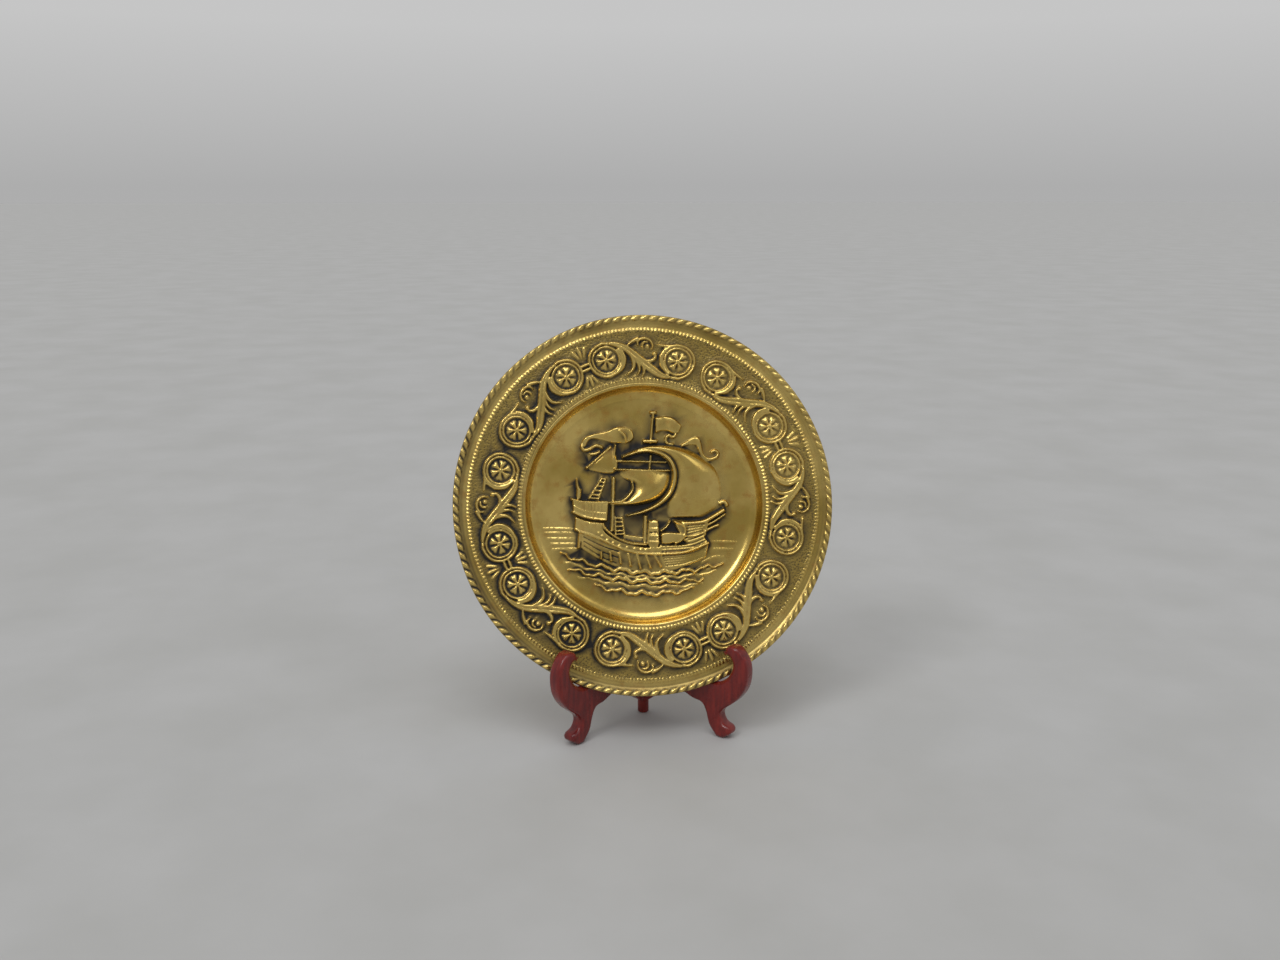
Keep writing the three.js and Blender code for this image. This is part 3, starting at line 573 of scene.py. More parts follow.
# Height fields
def lift(field, spots, rise):
    """Raises the field to a height wherever a spot lies lower."""
    column = np.rint((spots[..., 0] + REACH) / CELL).astype(int)
    row = np.rint((spots[..., 1] + REACH) / CELL).astype(int)
    np.maximum.at(field, (row, column), np.broadcast_to(rise, column.shape))


def quilt(field, first, second, high, across=panel, along=flush):
    """Raises the area between two curves."""
    rough = np.linspace(0, 1, ROUGH_STEPS)
    edges = [first(rough), second(rough)]
    longest = max(np.linalg.norm(np.diff(edge, axis=0), axis=1).sum() for edge in edges)
    widest = np.linalg.norm(edges[1] - edges[0], axis=1).max()
    lengthwise = np.linspace(0, 1, int(longest / SAMPLE) + 2)
    crosswise = np.linspace(0, 1, int(widest / SAMPLE) + 3)
    start = first(lengthwise)[:, None]
    end = second(lengthwise)[:, None]
    spots = start + (end - start) * crosswise[None, :, None]
    lift(field, spots, high * along(lengthwise)[:, None] * across(crosswise)[None, :])


def stroke(field, path, half, high, across=ridge, along=flush, width=flush):
    """Raises a ridge along a path."""
    right = beside(path, lambda share: -half * width(share))
    left = beside(path, lambda share: half * width(share))
    quilt(field, right, left, high, across, along)


def mound(field, centre, radius, high):
    """Raises a round stud."""
    share, angle = np.meshgrid(np.linspace(0, 1, BALL_GRID[0]), np.linspace(0, 2 * np.pi, BALL_GRID[1]))
    spots = np.stack([np.cos(angle), np.sin(angle)], axis=-1) * radius * share[..., None]
    lift(field, spots + centre, high * np.sqrt(1 - BALL_DROP * share**2))


def soften(field, reach):
    """Blurs a field over a reach in millimetres."""
    taps = int(3 * reach / CELL) + 1
    weights = np.exp(-0.5 * (np.arange(-taps, taps + 1) * CELL / reach) ** 2)
    weights /= weights.sum()
    for _ in range(2):
        padded = np.pad(field, ((taps, taps), (0, 0)), mode="edge")
        field = sum(weight * padded[i:i + COUNT] for i, weight in enumerate(weights)).T
    return field


def shrink(field, reach):
    """Draws raised areas in by a reach in millimetres."""
    taps = int(round(reach / CELL))
    for _ in range(2):
        padded = np.pad(field, ((taps, taps), (0, 0)), mode="edge")
        field = np.min([padded[i:i + COUNT] for i in range(2 * taps + 1)], axis=0).T
    return field


def sample(field, u, v):
    """The field's value between its grid points."""
    x = np.clip((u + REACH) / CELL, 0, COUNT - INSIDE_GRID)
    y = np.clip((v + REACH) / CELL, 0, COUNT - INSIDE_GRID)
    column = x.astype(int)
    row = y.astype(int)
    across = x - column
    up = y - row
    low = field[row, column] * (1 - across) + field[row, column + 1] * across
    high = field[row + 1, column] * (1 - across) + field[row + 1, column + 1] * across
    return low * (1 - up) + high * up


# Plate: the turned profile, its rings and the rope edge
def dish_face():
    """The turned face without relief."""
    rise = np.clip((GRID_RADIUS - WELL_RADIUS) / (CAVETTO_TOP_RADIUS - WELL_RADIUS), 0, 1)
    face = -WELL_DEPTH * np.sqrt(1 - rise**2) - CAVETTO_LIP * rise
    lip = np.clip((GRID_RADIUS - CAVETTO_TOP_RADIUS) / FILLET_HALF, 0, 1)
    face += CAVETTO_LIP * lip
    face += FILLET_HIGH * np.exp(-(((GRID_RADIUS - FILLET_RADIUS) / FILLET_HALF) ** 2))
    cove = np.clip((GRID_RADIUS - COVE_RADIUS) / (ROPE_FOOT_RADIUS - COVE_RADIUS), 0, 1)
    return face + ROPE_FOOT_HIGH * cove**COVE_CURVE - COVE_DEEP * cove_floor()


def cove_floor():
    """How near a place lies to the bottom of the cove inside the rope, from 0 to 1."""
    return np.exp(-(((GRID_RADIUS - COVE_FLOOR_RADIUS) / COVE_HALF) ** 2))


def beaded_ring(radius, half, high, count, gap):
    """A ring of beads or ticks; gap is how much of the height is lost between them."""
    dome = np.sqrt(np.clip(1 - ((GRID_RADIUS - radius) / half) ** 2, 0, 1))
    bead = (0.5 + 0.5 * np.cos(count * GRID_ANGLE)) ** BEAD_ROUND
    return high * dome * (1 - gap + gap * bead)


def rope_lobes():
    """The strands of the twisted edge, from 0 between them to 1 on their crests."""
    offset = GRID_RADIUS - (ROPE_FOOT_RADIUS + PLATE_RADIUS) / 2
    return (0.5 + 0.5 * np.cos(ROPE_LOBES * GRID_ANGLE + ROPE_SLANT * offset)) ** ROPE_ROUND


def rope_edge(face):
    """The twisted edge, set on the face's rim."""
    middle = (ROPE_FOOT_RADIUS + PLATE_RADIUS) / 2
    half = (PLATE_RADIUS - ROPE_FOOT_RADIUS) / 2
    dome = np.clip(1 - ((GRID_RADIUS - middle) / half) ** 2, 0, 1) ** ROPE_SQUARE
    strands = ROPE_HOLLOW + (1 - ROPE_HOLLOW) * rope_lobes()
    rope = EDGE_HIGH + (ROPE_HIGH - EDGE_HIGH) * dome * strands
    return np.where(GRID_RADIUS > ROPE_FOOT_RADIUS, rope, face)


def dish_back(radius):
    """The turned back without relief, as a function of the radius."""
    rise = np.clip((radius - WELL_RADIUS) / (CAVETTO_TOP_RADIUS + SHEET - WELL_RADIUS), 0, 1)
    well = -(WELL_DEPTH + SHEET) * np.sqrt(1 - rise**2) - SHEET * rise
    radii = [COVE_RADIUS + SHEET, EDGE_TURN_RADIUS, PLATE_RADIUS]
    edge = np.interp(radius, radii, [0, EDGE_HIGH - EDGE_THICK + SHEET, EDGE_HIGH + SHEET])
    return well + edge


# Border
def on_cell(cell, curve):
    """A curve drawn in a border cell, bent round the plate."""
    return lambda share: bend_round(cell, curve(share))


def bend_round(cell, spots):
    """Places in a border cell, bent round the plate; every second cell is mirrored."""
    side = -1 if cell % 2 else 1
    angle = CELL_START - cell * 2 * math.pi / CELLS - side * spots[..., 0] / BORDER_RADIUS
    return np.stack([np.cos(angle), np.sin(angle)], axis=-1) * spots[..., 1:2]


def scroll(field, cell):
    """A ring, the slanting stem and the next ring, with a fluted stalk over the stem."""
    points = spiral(LEFT_RING, *LEFT_TURN, RING_INNER, RING_OUTER) + STEM
    points += spiral(RIGHT_RING, *RIGHT_TURN, RING_OUTER, RING_INNER)
    stroke(field, on_cell(cell, through(points)), RING_HALF, RING_HIGH)
    stem = on_cell(cell, through(FLUTED_STEM["path"]))
    stroke(field, stem, FLUTED_STEM["half"], FLUTED_STEM["high"], fluted, width=swell)


def rosette(field, cell, centre):
    """Six notched petals about a boss, in a hoop."""
    steps, turns = PETAL_GRID
    radius, angle = np.meshgrid(np.linspace(0, PETAL_TIP, steps), np.linspace(0, 2 * np.pi, turns))
    lobe = np.abs(np.cos(angle * PETALS / 2))
    width = np.clip((lobe - PETAL_GAP) / (1 - PETAL_GAP), 0, 1)
    edge = PETAL_TIP - PETAL_NOTCH * np.exp(-(((1 - lobe) / PETAL_NOTCH_WIDE) ** 2))
    petal = width**PETAL_FULL * np.clip(1 - (radius / edge) ** PETAL_END, 0, 1)
    boss = BOSS_HIGH * np.sqrt(np.clip(1 - (radius / BOSS_RADIUS) ** 2, 0, 1))
    spots = np.stack([centre[0] + radius * np.cos(angle), centre[1] + radius * np.sin(angle)], axis=-1)
    lift(field, bend_round(cell, spots), np.maximum(ROSETTE_HIGH * petal, boss))
    hoop = spiral(centre, 0, 360, HOOP_RADIUS, HOOP_RADIUS)
    stroke(field, on_cell(cell, through(hoop)), HOOP_HALF, HOOP_HIGH)


def foliage(field, cell):
    """The leaf under the stem, the curled bud over it and the tendrils."""
    for half, high, path in [*LEAF_BLADES, BUD_LEAF]:
        stroke(field, on_cell(cell, through(path)), half, high, width=pointed)
    for half, high, path in [*BUD_STROKES, *CRESCENTS, *TENDRILS]:
        stroke(field, on_cell(cell, through(path)), half, high, width=swell)
    for ball in BALLS:
        mound(field, bend_round(cell, np.array(ball["centre"])), ball["radius"], ball["high"])


def border_relief():
    """The scrolls, rosettes, leaves and clasps of the eight cells."""
    field = np.zeros((COUNT, COUNT))
    for cell in range(CELLS):
        scroll(field, cell)
        rosette(field, cell, LEFT_RING)
        rosette(field, cell, RIGHT_RING)
        foliage(field, cell)
        for half, high, path in [*CLASPS, *SPRIGS]:
            moved = [(x + CELL_END, y) for x, y in path]
            stroke(field, on_cell(cell, through(moved)), half, high, width=swell)
    return field


# Galleon
def main_sail_across(share):
    return np.clip(np.sin(np.pi * share**SAIL_SKEW), 0, 1) ** SAIL_FULL


def main_sail_along(share):
    swelling = np.clip(np.sin(np.pi * share**SAIL_LONG_SKEW), 0, 1) ** SAIL_LONG_FULL
    return SAIL_ENDS + (1 - SAIL_ENDS) * swelling


def course_along(share):
    return np.minimum(1, np.minimum(COURSE_HEAD + share, COURSE_FOOT + COURSE_SLOPE * (1 - share)))


def sails(field):
    shaped = [
        (MAIN_SAIL, main_sail_across, main_sail_along), (COURSE, belly, course_along), (MIZZEN, panel, swell),
    ]
    for (high, first, second), across, along in shaped:
        quilt(field, through(first), through(second), high, across, along)


def folds(turns):
    """The rise and fall of a flag along its length."""
    return lambda share: 1 - FLAG_SWING + FLAG_SWING * np.cos(turns * share)


def flags(field):
    for high, turns, first, second in FLAGS:
        quilt(field, through(first), through(second), high, panel, folds(turns))


def ladder(field, first, second, rungs, high):
    left = through(first)
    right = through(second)
    stroke(field, left, LADDER_HALF, high)
    stroke(field, right, LADDER_HALF, high)
    for rung in range(rungs):
        share = np.array([(rung + FIRST_RUNG) / rungs])
        stroke(field, through([left(share)[0], right(share)[0]]), RUNG_HALF, high)


def castle(field):
    for row in BALUSTER_ROWS:
        head = through([row["first"][0], row["second"][0]])
        foot = through([row["first"][1], row["second"][1]])
        for share in np.linspace(0, 1, BALUSTERS):
            ends = [head(np.array([share]))[0], foot(np.array([share]))[0]]
            stroke(field, through(ends), BALUSTER_HALF, BALUSTER_HIGH)


def oars(field):
    for index in range(OARS):
        x = OAR["first_x"] + index * OAR["pitch"]
        foot_x = x + OAR_LEAN + index * OAR["slant"]
        foot_y = OAR["top"] - OAR["reach"] + abs(index - OAR_MIDDLE) * OAR_SHORTER
        stroke(field, through([(x, OAR["top"]), (foot_x, foot_y)]), OAR["half"], OAR["high"])


def sea(field):
    for wave in WAVES:
        x = np.linspace(*wave["ends"], WAVE_POINTS)
        phase = 2 * math.pi * x / wave["length"]
        chop = CHOP_SHARE * np.sin(CHOP_PACE * phase + wave["low"])
        ripple = wave["ripple"] * (np.sin(phase) + chop)
        y = wave["low"] + wave["bowl"] * (x / WAVE_REACH) ** 2 + ripple
        stroke(field, through(np.stack([x, y], axis=1)), wave["half"], wave["high"], width=swell)
    for line in SEA_LINES:
        stroke(field, through(line), SEA_LINE_HALF, SEA_LINE_HIGH, width=swell)


def plank_lines():
    """Depth of the lines between the hull's planks."""
    field = np.zeros((COUNT, COUNT))
    for run in PLANKS:
        first = through(run["first"])
        second = through(run["second"])
        for index in range(run["lines"] + 2):
            path = between(first, second, index / (run["lines"] + 1))
            stroke(field, path, PLANK_HALF, run["deep"])
    return field


def galleon():
    """Relief of the ship and the sea."""
    field = np.zeros((COUNT, COUNT))
    sails(field)
    high, first, second = HULL_SIDE
    quilt(field, through(first), through(second), high, hull_side)
    for high, first, second in HULL_PANELS:
        quilt(field, through(first), through(second), high)
    field = np.maximum(field - plank_lines(), 0)
    flags(field)
    for half, high, path in ROLLED_EDGES:
        stroke(field, through(path), half, high, width=swell)
    for half, high, path in [*SPARS, *RAILS]:
        stroke(field, through(path), half, high)
    half, high, path = LANTERN
    stroke(field, through(path), half, high, width=taper)
    for part in LADDERS:
        ladder(field, **part)
    castle(field)
    for centre in through(STUDS["path"])(np.linspace(0, 1, STUDS["count"])):
        mound(field, centre, STUD_RADIUS, STUD_HIGH)
    oars(field)
    sea(field)
    return field


def soot_and_shade():
    """Where the ship is darkened in its colour, from 0 to 1: partly deposit, partly painted shade under its
    sails, forecastle and hull.
    """
    field = np.zeros((COUNT, COUNT))
    for share, first, second in SOOT_AND_SHADE:
        quilt(field, through(first), through(second), share, across=flush)
    return soften(field, SOOT_AND_SHADE_REACH)


# Plate mesh
def ring_count(radius, turn):
    """Points in a ring: halved each time that the radius halves."""
    count = turn
    limit = CAVETTO_TOP_RADIUS
    while radius < limit and count % 2 == 0 and limit > SMALLEST_HALVING:
        count //= 2
        limit /= 2
    return count


def stitch(first_start, first, second_start, second):
    """Triangles between two rings with as many points, or with half or twice as many."""
    if first < second:
        return stitch(second_start, second, first_start, first)[:, ::-1]
    i = np.arange(second)
    here = second_start + i
    there = second_start + (i + 1) % second
    if first == second:
        near = first_start + i
        far = first_start + (i + 1) % first
        return np.concatenate([np.stack([near, here, far], 1), np.stack([far, here, there], 1)])
    near = first_start + 2 * i
    middle = near + 1
    far = first_start + (2 * i + 2) % first
    fans = [(near, here, middle), (middle, here, there), (middle, there, far)]
    return np.concatenate([np.stack(fan, 1) for fan in fans])


def plate_rings(front, back):
    """Rings of points from the middle of the face, over the edge, to the middle of the back."""
    face_radii = np.arange(FRONT_STEP, PLATE_RADIUS - EDGE_CLEAR, FRONT_STEP)
    back_radii = np.arange(PLATE_RADIUS - BACK_STEP, BACK_STEP, -BACK_STEP)
    rings = []
    for radii, turn, field in [(face_radii, FULL_TURN, front), ([PLATE_RADIUS], FULL_TURN, None),
                               (back_radii, FULL_TURN // 2, back)]:
        for radius in radii:
            count = ring_count(radius, turn)
            angle = 2 * np.pi * np.arange(count) / count
            u = radius * np.cos(angle)
            v = radius * np.sin(angle)
            height = np.full(count, EDGE_HIGH) if field is None else sample(field, u, v)
            rings.append(np.stack([u, v, height], axis=1))
    return rings


def closed_mesh(name, rings, front, back):
    """A mesh over the rings, closed at both middles."""
    starts = np.cumsum([1] + [len(ring) for ring in rings])
    centre = np.zeros(1)
    points = [[[0, 0, sample(front, centre, centre)[0]]], *rings, [[0, 0, sample(back, centre, centre)[0]]]]
    triangles = []
    for index in range(len(rings) - 1):
        triangles.append(stitch(starts[index], len(rings[index]), starts[index + 1], len(rings[index + 1])))
    i = np.arange(len(rings[0]))
    triangles.append(np.stack([np.zeros_like(i), 1 + i, 1 + (i + 1) % len(i)], 1))
    i = np.arange(len(rings[-1]))
    last = starts[-2]
    triangles.append(np.stack([np.full_like(i, starts[-1]), last + (i + 1) % len(i), last + i], 1))
    return mesh_of(name, np.concatenate(points), np.concatenate(triangles))


def mesh_of(name, points, triangles):
    mesh = bpy.data.meshes.new(name)
    mesh.vertices.add(len(points))
    mesh.vertices.foreach_set("co", np.asarray(points, np.float32).ravel())
    mesh.loops.add(triangles.size)
    mesh.loops.foreach_set("vertex_index", triangles.astype(np.int32).ravel())
    mesh.polygons.add(len(triangles))
    mesh.polygons.foreach_set("loop_start", np.arange(0, triangles.size, 3, dtype=np.int32))
    mesh.update(calc_edges=True)
    return mesh


def link(name, mesh):
    piece = bpy.data.objects.new(name, mesh)
    bpy.context.scene.collection.objects.link(piece)
    return piece


def applied(piece):
    """The piece's mesh with its modifiers applied; the modifiers are taken off."""
    evaluated = piece.evaluated_get(bpy.context.evaluated_depsgraph_get())
    mesh = bpy.data.meshes.new_from_object(evaluated)
    piece.modifiers.clear()
    return mesh


def thin_out(piece):
    """Thins the piece's mesh; long edges are made costly, so that flat areas keep small triangles."""
    thinning = piece.modifiers.new("thin out", "DECIMATE")
    thinning.ratio = PLATE_TRIANGLES / len(piece.data.polygons)
    thinning.use_collapse_triangulate = True
    group = piece.vertex_groups.new(name="even")
    group.add(range(len(piece.data.vertices)), EVEN_WEIGHT, "REPLACE")
    thinning.vertex_group = group.name
    thinning.vertex_group_factor = EVENNESS
    piece.data = applied(piece)


def points_of(mesh):
    points = np.zeros(3 * len(mesh.vertices), np.float32)
    mesh.vertices.foreach_get("co", points)
    return points.reshape(-1, 3).astype(float)


def add_attribute(mesh, name, values):
    attribute = mesh.attributes.new(name, "FLOAT", "POINT")
    attribute.data.foreach_set("value", values.astype(np.float32))


def plate_normals(mesh, points, on_face, front, back):
    """Normals of the true surface, so that flat and turned areas shine evenly."""
    normals = np.zeros(3 * len(points), np.float32)
    mesh.vertices.foreach_get("normal", normals)
    normals = normals.reshape(-1, 3).astype(float)
    inside = np.hypot(points[:, 0], points[:, 1]) < NORMAL_LIMIT
    for field, chosen, side in [(front, on_face & inside, 1), (back, ~on_face & inside, -1)]:
        slope_v, slope_u = np.gradient(field, CELL)
        u, v = points[chosen, 0], points[chosen, 1]
        up = np.stack([-sample(slope_u, u, v), -sample(slope_v, u, v), np.ones(len(u))], axis=1)
        normals[chosen] = side * up / np.linalg.norm(up, axis=1)[:, None]
    return normals


def plate_matrix():
    """From the plate's own frame in millimetres to the scene in metres."""
    low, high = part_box("hinge_pin")
    hinge = (low + high) / 2
    place = Vector((hinge.x, hinge.y - HINGE_BEHIND_CENTRE * MM, PLATE_CENTRE_HEIGHT * MM))
    turn = Matrix.Rotation(math.pi / 2 - LEAN, 4, "X") @ Matrix.Rotation(TURN, 4, "Z")
    return Matrix.Translation(place) @ turn @ Matrix.Scale(MM, 4)


def wear(decor, relief):
    """Fields from 0 to 1 for the brass: dark hollows with grime and painted shade, polished crests, stippled
    ground, and the ship's deposit with painted shade.
    """
    fine = (soften(decor, FINE_REACH) - decor) / FINE_DEPTH
    broad = np.where(GRID_RADIUS > BEAD_RADIUS, (soften(decor, BROAD_REACH) - decor) / BROAD_DEPTH, 0)
    # painted shade: the floor of the cove inside the rope is darkened all round
    hollow_dirt_and_shade = np.maximum(np.maximum(fine, broad), COVE_SHADE * cove_floor())
    hollow_dirt_and_shade = np.where(GRID_RADIUS > ROPE_FOOT_RADIUS, (1 - rope_lobes()) ** ROPE_DIRT, hollow_dirt_and_shade)
    # painted shade: the hollows are darker towards the lower left of the plate
    uneven = DIRT_AND_SHADE_MEAN + SHADE_SWING * np.cos(GRID_ANGLE - SHADE_HEADING)
    ground = (GRID_RADIUS > BEAD_RADIUS) & (GRID_RADIUS < TICK_RADIUS) & (relief < GROUND_LOW)
    return {
        "hollow_dirt_and_shade": np.clip(uneven * hollow_dirt_and_shade, 0, 1),
        "proud": np.clip((decor - soften(decor, CREST_REACH)) / CREST_HIGH, 0, 1),
        "ground": soften(ground.astype(float), GROUND_REACH),
        "soot_and_shade": soot_and_shade(),
    }


def plate(material):
    """The pressed plate, with its relief showing softly on the back."""
    relief = soften(np.maximum(border_relief(), galleon()), PRESS_SOFTNESS)
    turned = dish_face()
    beads = beaded_ring(BEAD_RADIUS, BEAD_HALF, BEAD_HIGH, BEADS, BEAD_GAP)
    ticks = beaded_ring(TICK_RADIUS, TICK_HALF, TICK_HIGH, TICKS, TICK_GAP)
    front = rope_edge(turned + beads + ticks) + relief
    back = dish_back(GRID_RADIUS) + soften(shrink(relief, BACK_SHRINK), BACK_SOFTNESS)
    rings = plate_rings(front, back)
    piece = link("pressed_plate", closed_mesh("pressed_plate", rings, front, back))
    thin_out(piece)
    mesh = piece.data
    points = points_of(mesh)
    u, v, height = points.T
    on_face = height > (sample(front, u, v) + sample(back, u, v)) / 2
    normals = plate_normals(mesh, points, on_face, front, back)
    for name, field in wear(front - turned, relief).items():
        add_attribute(mesh, name, np.where(on_face, sample(field, u, v), 0))
    matrix = plate_matrix()
    mesh.transform(matrix)
    turn = np.array(matrix.to_3x3().normalized())
    mesh.polygons.foreach_set("use_smooth", np.ones(len(mesh.polygons), bool))
    mesh.normals_split_custom_set_from_vertices(normals @ turn.T)
    mesh.materials.append(material)
    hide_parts("plate")
    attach(piece, "root")


# Stand
def steps_along(points):
    """Points on the smooth curve through a few points, without the first."""
    share = np.linspace(0, 1, SPLINE_STEPS * (len(points) - 1) + 1)
    return [tuple(point) for point in through(points)(share)[1:]]


def leaf_outline(own):
    """Outline of one board; its rear edge steps back beside the other leaf's knuckles."""
    rear = [OWN_EDGE if index % 2 == own else OTHER_EDGE for index in range(KNUCKLES)]
    outline = [(rear[0], REAR_FOOT_HIGH + REAR_FOOT_RISE * rear[0])]
    outline += steps_along([outline[-1], *ARCH])
    outline.append((TOE_FLAT_END, 0))
    outline += steps_along([outline[-1], *TOE_AND_HOOK])
    outline += steps_along([outline[-1], *THROAT])
    outline.append((SUPPORT_FOOT, NOTCH_FLOOR))
    outline.append((SUPPORT_FOOT - (SUPPORT_TOP - NOTCH_FLOOR) * SUPPORT_SLOPE, SUPPORT_TOP))
    outline += steps_along([outline[-1], *ARM_TOP])[:-1]
    outline.append((rear[-1], HINGE_HEIGHT))
    for index in reversed(range(1, KNUCKLES)):
        height = index * HINGE_HEIGHT / KNUCKLES
        outline += [(rear[index], height), (rear[index - 1], height)]
    return outline


def board_mesh(name, outline):
    """A flat board with rounded edges over an outline."""
    curve = bpy.data.curves.new(name, "CURVE")
    curve.dimensions = "2D"
    curve.fill_mode = "BOTH"
    curve.extrude = LEAF_THICKNESS / 2 - LEAF_ROUND
    curve.bevel_depth = LEAF_ROUND
    curve.bevel_resolution = BEVEL_STEPS
    curve.offset = -LEAF_ROUND
    spline = curve.splines.new("POLY")
    spline.points.add(len(outline) - 1)
    for point, (x, y) in zip(spline.points, outline):
        point.co = (x, y, 0, 1)
    spline.use_cyclic_u = True
    helper = link(name, curve)
    mesh = applied(helper)
    bpy.data.objects.remove(helper)
    bpy.data.curves.remove(curve)
    return mesh


def knuckle(bottom, top):
    """Points and faces of one hinge knuckle, a short tube with eased ends."""
    bore = PIN_RADIUS + GAP
    profile = [
        (bore, bottom), (KNUCKLE_RADIUS - KNUCKLE_ROUND, bottom), (KNUCKLE_RADIUS, bottom + KNUCKLE_ROUND),
        (KNUCKLE_RADIUS, top - KNUCKLE_ROUND), (KNUCKLE_RADIUS - KNUCKLE_ROUND, top), (bore, top),
    ]
    points = []
    faces = []
    for step in range(KNUCKLE_STEPS):
        angle = 2 * math.pi * step / KNUCKLE_STEPS
        points += [(radius * math.cos(angle), radius * math.sin(angle), z) for radius, z in profile]
    rows = len(profile)
    for step in range(KNUCKLE_STEPS):
        here = step * rows
        there = (step + 1) % KNUCKLE_STEPS * rows
        for row in range(rows):
            after = (row + 1) % rows
            faces.append((here + row, there + row, there + after, here + after))
    return points, faces


def leaf(node, side, own, material):
    """One board of the stand with its own hinge knuckles."""
    low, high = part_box("hinge_pin")
    hinge = (low + high) / 2
    board = board_mesh(node, leaf_outline(own))
    spread = Matrix.Rotation(side * HALF_SPREAD - math.pi / 2, 4, "Z")
    board.transform(spread @ Matrix.Rotation(math.pi / 2, 4, "X"))
    points = [tuple(p) for p in points_of(board)]
    faces = [tuple(face.vertices) for face in board.polygons]
    for index in range(own, KNUCKLES, 2):
        bottom = index * HINGE_HEIGHT / KNUCKLES + (GAP / 2 if index else 0)
        top = (index + 1) * HINGE_HEIGHT / KNUCKLES - (GAP / 2 if index + 1 < KNUCKLES else 0)
        more_points, more_faces = knuckle(bottom, top)
        faces += [tuple(len(points) + corner for corner in face) for face in more_faces]
        points += more_points
    mesh = bpy.data.meshes.new(node)
    mesh.from_pydata(points, [], faces)
    mesh.transform(Matrix.Translation((hinge.x, hinge.y, 0)) @ Matrix.Scale(MM, 4))
    mesh.polygons.foreach_set("use_smooth", np.ones(len(mesh.polygons), bool))
    mesh.set_sharp_from_angle(angle=SHARP_ANGLE)
    mesh.materials.append(material)
    piece = link("carved_" + node, mesh)
    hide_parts(node)
    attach(piece, "root")


# Materials
class Nodes:
    """Short calls for building the node tree of a material or a world."""

    def __init__(self, owner):
        owner.use_nodes = True
        self.tree = owner.node_tree

    def add(self, kind, inputs=None, **settings):
        node = self.tree.nodes.new(kind)
        for key, value in settings.items():
            setattr(node, key, value)
        for key, value in (inputs or {}).items():
            self.put(node.inputs[key], value)
        return node

    def put(self, socket, value):
        if isinstance(value, bpy.types.NodeSocket):
            self.tree.links.new(value, socket)
        elif socket.type == "RGBA":
            socket.default_value = (*value, 1)
        else:
            socket.default_value = value

    def attribute(self, name):
        return self.add("ShaderNodeAttribute", attribute_name=name).outputs["Fac"]

    def place(self, scale=(1, 1, 1)):
        coordinates = self.add("ShaderNodeTexCoord").outputs["Object"]
        return self.add("ShaderNodeMapping", {"Vector": coordinates, "Scale": scale}).outputs["Vector"]

    def noise(self, vector, scale, detail=4.0, roughness=0.55):
        inputs = {"Vector": vector, "Scale": scale, "Detail": detail, "Roughness": roughness}
        return self.add("ShaderNodeTexNoise", inputs).outputs["Fac"]

    def spread(self, value, low, high, to_low=0.0, to_high=1.0):
        """Spreads a value from one range over another."""
        inputs = {"Value": value, "From Min": low, "From Max": high, "To Min": to_low, "To Max": to_high}
        return self.add("ShaderNodeMapRange", inputs).outputs["Result"]

    def math(self, operation, first, second, clamp=False):
        node = self.add("ShaderNodeMath", operation=operation, use_clamp=clamp)
        self.put(node.inputs[0], first)
        self.put(node.inputs[1], second)
        return node.outputs[0]

    def blend(self, share, first, second):
        node = self.add("ShaderNodeMix", data_type="RGBA")
        self.put(node.inputs["Factor"], share)
        self.put(node.inputs[6], first)
        self.put(node.inputs[7], second)
        return node.outputs[2]

    def bump(self, height, strength, distance):
        inputs = {"Height": height, "Strength": strength, "Distance": distance}
        return self.add("ShaderNodeBump", inputs).outputs["Normal"]

    def finish(self, **sockets):
        """Sets the shader's sockets; a name's underscores stand for spaces."""
        shader = self.tree.nodes["Principled BSDF"]
        for name, value in sockets.items():
            self.put(shader.inputs[name.replace("_", " ")], value)


def brass_material():
    """Old brass: polished where it stands proud, mottled on the flats, and dark in the hollows with grime and
    painted shade.
    """
    material = bpy.data.materials.new("old_brass")
    n = Nodes(material)
    place = n.place()
    stain = n.noise(place, **STAIN)
    mottle = n.noise(place, **MOTTLE)
    grain = n.noise(place, **FINE_GRAIN)
    proud = n.attribute("proud")
    ground = n.attribute("ground")
    dots = n.add("ShaderNodeTexVoronoi", {"Vector": place, "Scale": STIPPLE_SCALE}).outputs["Distance"]
    metal = n.blend(n.spread(stain, *STAIN_SPREAD), BRASS_BRIGHT, BRASS_DULL)
    metal = n.blend(n.spread(mottle, *TAN_SPREAD), metal, BRASS_TAN)
    metal = n.blend(n.math("MULTIPLY", ground, GROUND_SHARE), metal, BRASS_GROUND)
    metal = n.blend(n.math("MULTIPLY", proud, POLISH_SHARE), metal, BRASS_BRIGHT)
    uneven = n.spread(stain, *DIRT_SPREAD)
    # grime in the hollows, with painted shade in the cove and towards the lower left
    dirt_and_shade = n.math("MULTIPLY", n.attribute("hollow_dirt_and_shade"), uneven)
    # painted shade and deposit on the ship, taken back where crests are polished
    kept = n.math("SUBTRACT", n.attribute("soot_and_shade"), n.math("MULTIPLY", proud, POLISH_SHARE))
    dirt_and_shade = n.math("MAXIMUM", dirt_and_shade, kept)
    pits = n.math("MULTIPLY", ground, n.spread(dots, *PIT_SPREAD))
    dirt_and_shade = n.math("MAXIMUM", dirt_and_shade, pits, clamp=True)
    rough = n.math("ADD", n.spread(mottle, *BRASS_ROUGHNESS), n.math("MULTIPLY", dirt_and_shade, DIRT_ROUGHER))
    stipple = n.math("MULTIPLY", dots, ground)
    height = n.math("ADD", stipple, n.math("MULTIPLY", grain, FINE_GRAIN_SHARE))
    n.finish(
        Base_Color=n.blend(dirt_and_shade, metal, DIRT_AND_SHADE_BLACK),
        Metallic=n.spread(dirt_and_shade, *METAL_SPREAD),
        Roughness=n.math("SUBTRACT", rough, n.math("MULTIPLY", proud, POLISH_SMOOTHER)),
        Normal=n.bump(height, *BRASS_BUMP),
    )
    return material


